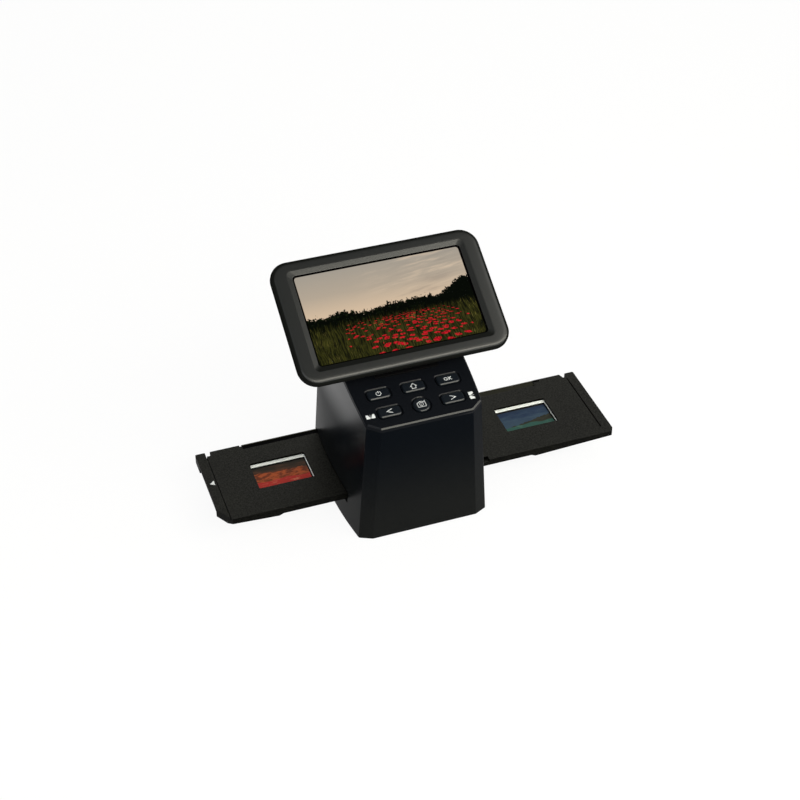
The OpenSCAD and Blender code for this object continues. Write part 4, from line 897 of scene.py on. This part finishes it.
def makeLeaf():
    h = holder
    length, width, thick = h["size"]
    inner = length / 2 - h["strip"]
    leaf = slab("holderLeaf", holderOutline(), 0, thick, holderPlace)
    stepLeft, stepRight, stepIn, stepHigh, slant = h["step"]
    front = h["back"] - width
    step = [(stepLeft - 2 * slant, -stepHigh), (stepRight + 2 * slant, -stepHigh),
        (stepRight - slant, stepHigh),
        (stepLeft + slant, stepHigh)]
    gripWide, gripFront, gripBack, gripHigh = h["grip"]
    rightEnd, bridge = inner - h["lidGap"][1], front + h["bridge"]
    bed = [(-inner, -beyond), (rightEnd, -beyond), (rightEnd, bridge), (inner, bridge), (inner, beyond),
        (-inner, beyond)]
    tools = [slab("bedTool", bed, h["leaf"], above, holderPlace),
        loft("stepTool", [[(x, y, z) for x, z in step] for y in (front - 1, front + stepIn)], holderPlace)]
    tools += [holderBox(*sorted((side * (length / 2 - gripWide), side * (length / 2 + 1))), front + gripFront,
        h["back"] - gripBack, -1, gripHigh) for side in (-1, 1)]
    riseLow, riseHigh, riseDeep = h["rise"]  # the underside climbs towards both ends, along the front
    for start, end in ((stepLeft, -length / 2 - 1), (stepRight, length / 2 + 1)):
        wedge = [(start, -1.0), (start, riseLow), (end, riseHigh), (end, -1.0)]
        tools.append(loft("riseTool", [[(x, y, z - drop) for x, z in wedge]
            for y, drop in ((front - 1, 0.0), (front + riseDeep, riseHigh))], holderPlace))
    half = h["pocket"] / 2
    tools += [holderBox(x - half, x + half, -half, half, h["pocketFloor"], above) for x in frameCentres]
    carve(leaf, tools + windowTools())
    soften(leaf, h["edge"], 2)
    finishPiece(leaf, "film_holder", "holder_olive", "holder_base")

def makeLid():
    h = holder
    length, width, thick = h["size"]
    lid = slab("holderCover", holderOutline(), h["lidLow"], thick, holderPlace)
    inner = length / 2 - h["strip"]
    leftEnd, rightEnd = h["lidGap"][0] - inner, inner - h["lidGap"][1]
    rimWidth, rimDrop, rimLength, rimSlope = h["rim"]  # the right half's edge slopes down into the recess
    edge, floor, half = h["back"] - rimWidth, thick - rimDrop, rimLength / 2
    slope = [(edge - rimSlope * (1 + 1 / rimDrop), thick + 1), (edge, floor), (beyond, floor),
        (beyond, thick + 1)]
    carve(lid, [holderBox(-length, leftEnd, -beyond, beyond, 0, above),
        holderBox(rightEnd, length, -beyond, beyond, 0, above),
        holderBox(-half, 1, edge, beyond, floor, above),
        loft("rimTool", [[(x, y, z) for y, z in slope] for x in (0, half)], holderPlace)]
        + [holderBox(*hole, 0, above) for hole in h["lidHoles"]] + windowTools())
    soften(lid, h["edge"])
    finishPiece(lid, "film_holder", "holder_olive", "holder_lid")

    lipWidth, lipIn, lipMargin, lipEdge = h["lip"]
    lip = holderBox(lipMargin - half, half - lipMargin, h["back"] - lipWidth, h["back"] - lipIn,
        floor - h["sink"],
        thick - lipIn)
    # the lip is lighter than the lid, a painted highlight of the back edge
    lip.name = lip.data.name = "rimHighlightLip"
    finishPiece(soften(lip, lipEdge, 2), "film_holder", "holder_olive", material=finishes["rim_painted_highlight"])
    reach = rimWidth - lipWidth
    shorter, turn, rise, stripEdge = h["strips"]
    left, right = (
        soften(slab(name, roundedBox(half - shorter, reach, turn, 2, x=side * half / 2, y=edge + reach / 2),
            floor - h["sink"], floor + rise, holderPlace), stripEdge, 1)
        for name, side in (("rimStrip", -1), ("rimStripRight", 1)))
    finishPiece(right, "film_holder", "dark_plastic", material=finishes["holder_rim"])
    # painted shade: black floors under the last holes, joined to the black left rim strip
    margin, padThick = h["pad"]
    padLow = h["lidLow"] + margin
    pads = [holderBox(x0 - margin, x1 + margin, y0 - margin, y1 + margin, padLow, padLow + padThick)
        for x0, x1, y0, y1 in h["lidHoles"][-h["padded"]:]]
    finishPiece(carve(left, pads, "UNION"), "film_holder", "dark_plastic", material=finishes["rim_painted_shade"])
    inkMark("slideArrow", [], [h["arrow"]], holderPlace @ Matrix.Translation((0, 0, thick * mm)),
        "film_holder")

def makeMounts():
    h = holder
    width, thick, turn, edge = h["mount"]
    filmWidth, filmHeight, filmLow, filmHigh = h["film"]
    for i, x in enumerate(frameCentres):
        place = holderPlace @ Matrix.Translation((x * mm, 0, 0))
        card = slab("slideMount.%d" % (i + 1), roundedBox(width, width, turn, 5), h["pocketFloor"],
            h["pocketFloor"] + thick, place)
        place = place @ Matrix.Translation((0, h["apertureShift"] * mm, 0))
        bed = roundedBox(filmWidth + h["filmPlay"], filmHeight + h["filmPlay"], h["filmBedTurn"], 4)
        carve(card, [slab("apertureTool", roundedBox(*h["aperture"], h["apertureTurn"], 4), 0, above, place),
            slab("filmBedTool", bed, 0, filmHigh, place)])
        soften(card, edge, 2)
        finishPiece(card, "film_holder", "mount_white", "slide_mounts")


# Slide pictures: plain landscapes in colours that fade into one another

# a row: tones of high and low sky, two of the hills, shore and flecks, then horizon, its slope and shore line
films = [
    ((32, 27, 22), (84, 48, 30), (150, 68, 32), (92, 42, 22), (150, 36, 32), (206, 150, 110), 0.66, -0.1,
        0.34),
    ((140, 112, 80), (156, 90, 54), (90, 60, 36), (60, 44, 30), (84, 78, 40), (180, 162, 86), 0.5, 0.1, 0.25),
    ((80, 104, 116), (130, 138, 126), (60, 80, 60), (36, 52, 36), (66, 78, 40), (160, 150, 84), 0.55, -0.1,
        0.3),
    ((20, 37, 64), (42, 60, 78), (38, 38, 30), (28, 30, 24), (34, 70, 64), (92, 116, 100), 0.36, 0.34, 0.27),
]
# a dark band along the back and right edges of each picture
filmDarkEdges = {"left": 0.0, "right": 0.022, "front": 0.0, "back": 0.07, "tone": (7, 7, 8)}

def filmFinish(index, picture):
    finish = Finish("filmPicture%d" % (index + 1), rough=0.3, gloss=0.05)
    mix, field = finish.mix, finish.field
    u, v = (part / (size * mm) + 0.5 for part, size in zip(finish.apart(finish.place()), holder["aperture"]))
    *tones, horizon, slope, shoreLine = picture
    sky, low, far, hill, near, fleck = (tone(*value) for value in tones)
    seed = index * 17.0
    line = horizon + (u - 0.5) * slope
    cloud = field(u * 3.0, v * 7.0, seed, 4.0, 0.6)
    colour = mix((v + (cloud - 0.5) * 1.2).step(0.3, 1.0), low, sky)
    ridge = field(u * 4.0, seed + 1, 0.0, 4.0, 0.55)
    patches = field(u * 7.0, v * 9.0, seed + 2, 4.0, 0.6)
    colour = mix((line + (ridge - 0.5) * 0.5 - v).step(-0.01, 0.03), colour,
        mix(patches.step(0.42, 0.6), far, hill))
    ripple = field(u * 5.0, v * 34.0, seed + 3, 3.0, 0.6)
    ground = mix(ripple.step(0.56, 0.74) * 0.7, near, fleck)
    edge = shoreLine + 0.25 * (field(u * 3.0, seed + 4, 0.0, 2.0) - 0.5)
    colour = mix((edge - v).step(0.0, 0.03), colour, ground)
    # the picture goes dark along its back and right edges
    inside = ((u - filmDarkEdges["left"]).smallest(1 - filmDarkEdges["right"] - u).step(0.0, 0.008)
        * (v - filmDarkEdges["front"]).smallest(1 - filmDarkEdges["back"] - v).step(0.0, 0.012))
    finish.give("Base Color", mix(inside, tone(*filmDarkEdges["tone"]), colour))
    return finish.material

def makeFilms():
    width, height, low, high = holder["film"]
    for i, picture in enumerate(films):
        place = holderPlace @ Matrix.Translation((frameCentres[i] * mm, holder["apertureShift"] * mm, 0))
        sheet = slab("slideFilm.%d" % (i + 1), roundedBox(width, height, holder["filmTurn"], 3), low, high,
            place)
        finishPiece(sheet, "film_holder", "film_colour", "slide_films", material=filmFinish(i, picture),
            ownFrame=True)

makeLeaf()
makeLid()
makeMounts()
makeFilms()
print("film holder and slides made")


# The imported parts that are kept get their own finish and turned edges

keptEdge = {"width": 0.15, "segments": 2, "angle": 35}
weld = 0.005
for part in frame["record"]["subparts"]:
    node = frame["nodes"][part["node"]]
    for place in node.material_slots:
        place.material = finishes[part["material_slot"]]
    if part["node"] not in replaced:
        node.modifiers.new("join", "WELD").merge_threshold = weld * mm
        bevel(node, **keptEdge)
        node.modifiers.new("even", "WEIGHTED_NORMAL").keep_sharp = True
print("packed parts finished")
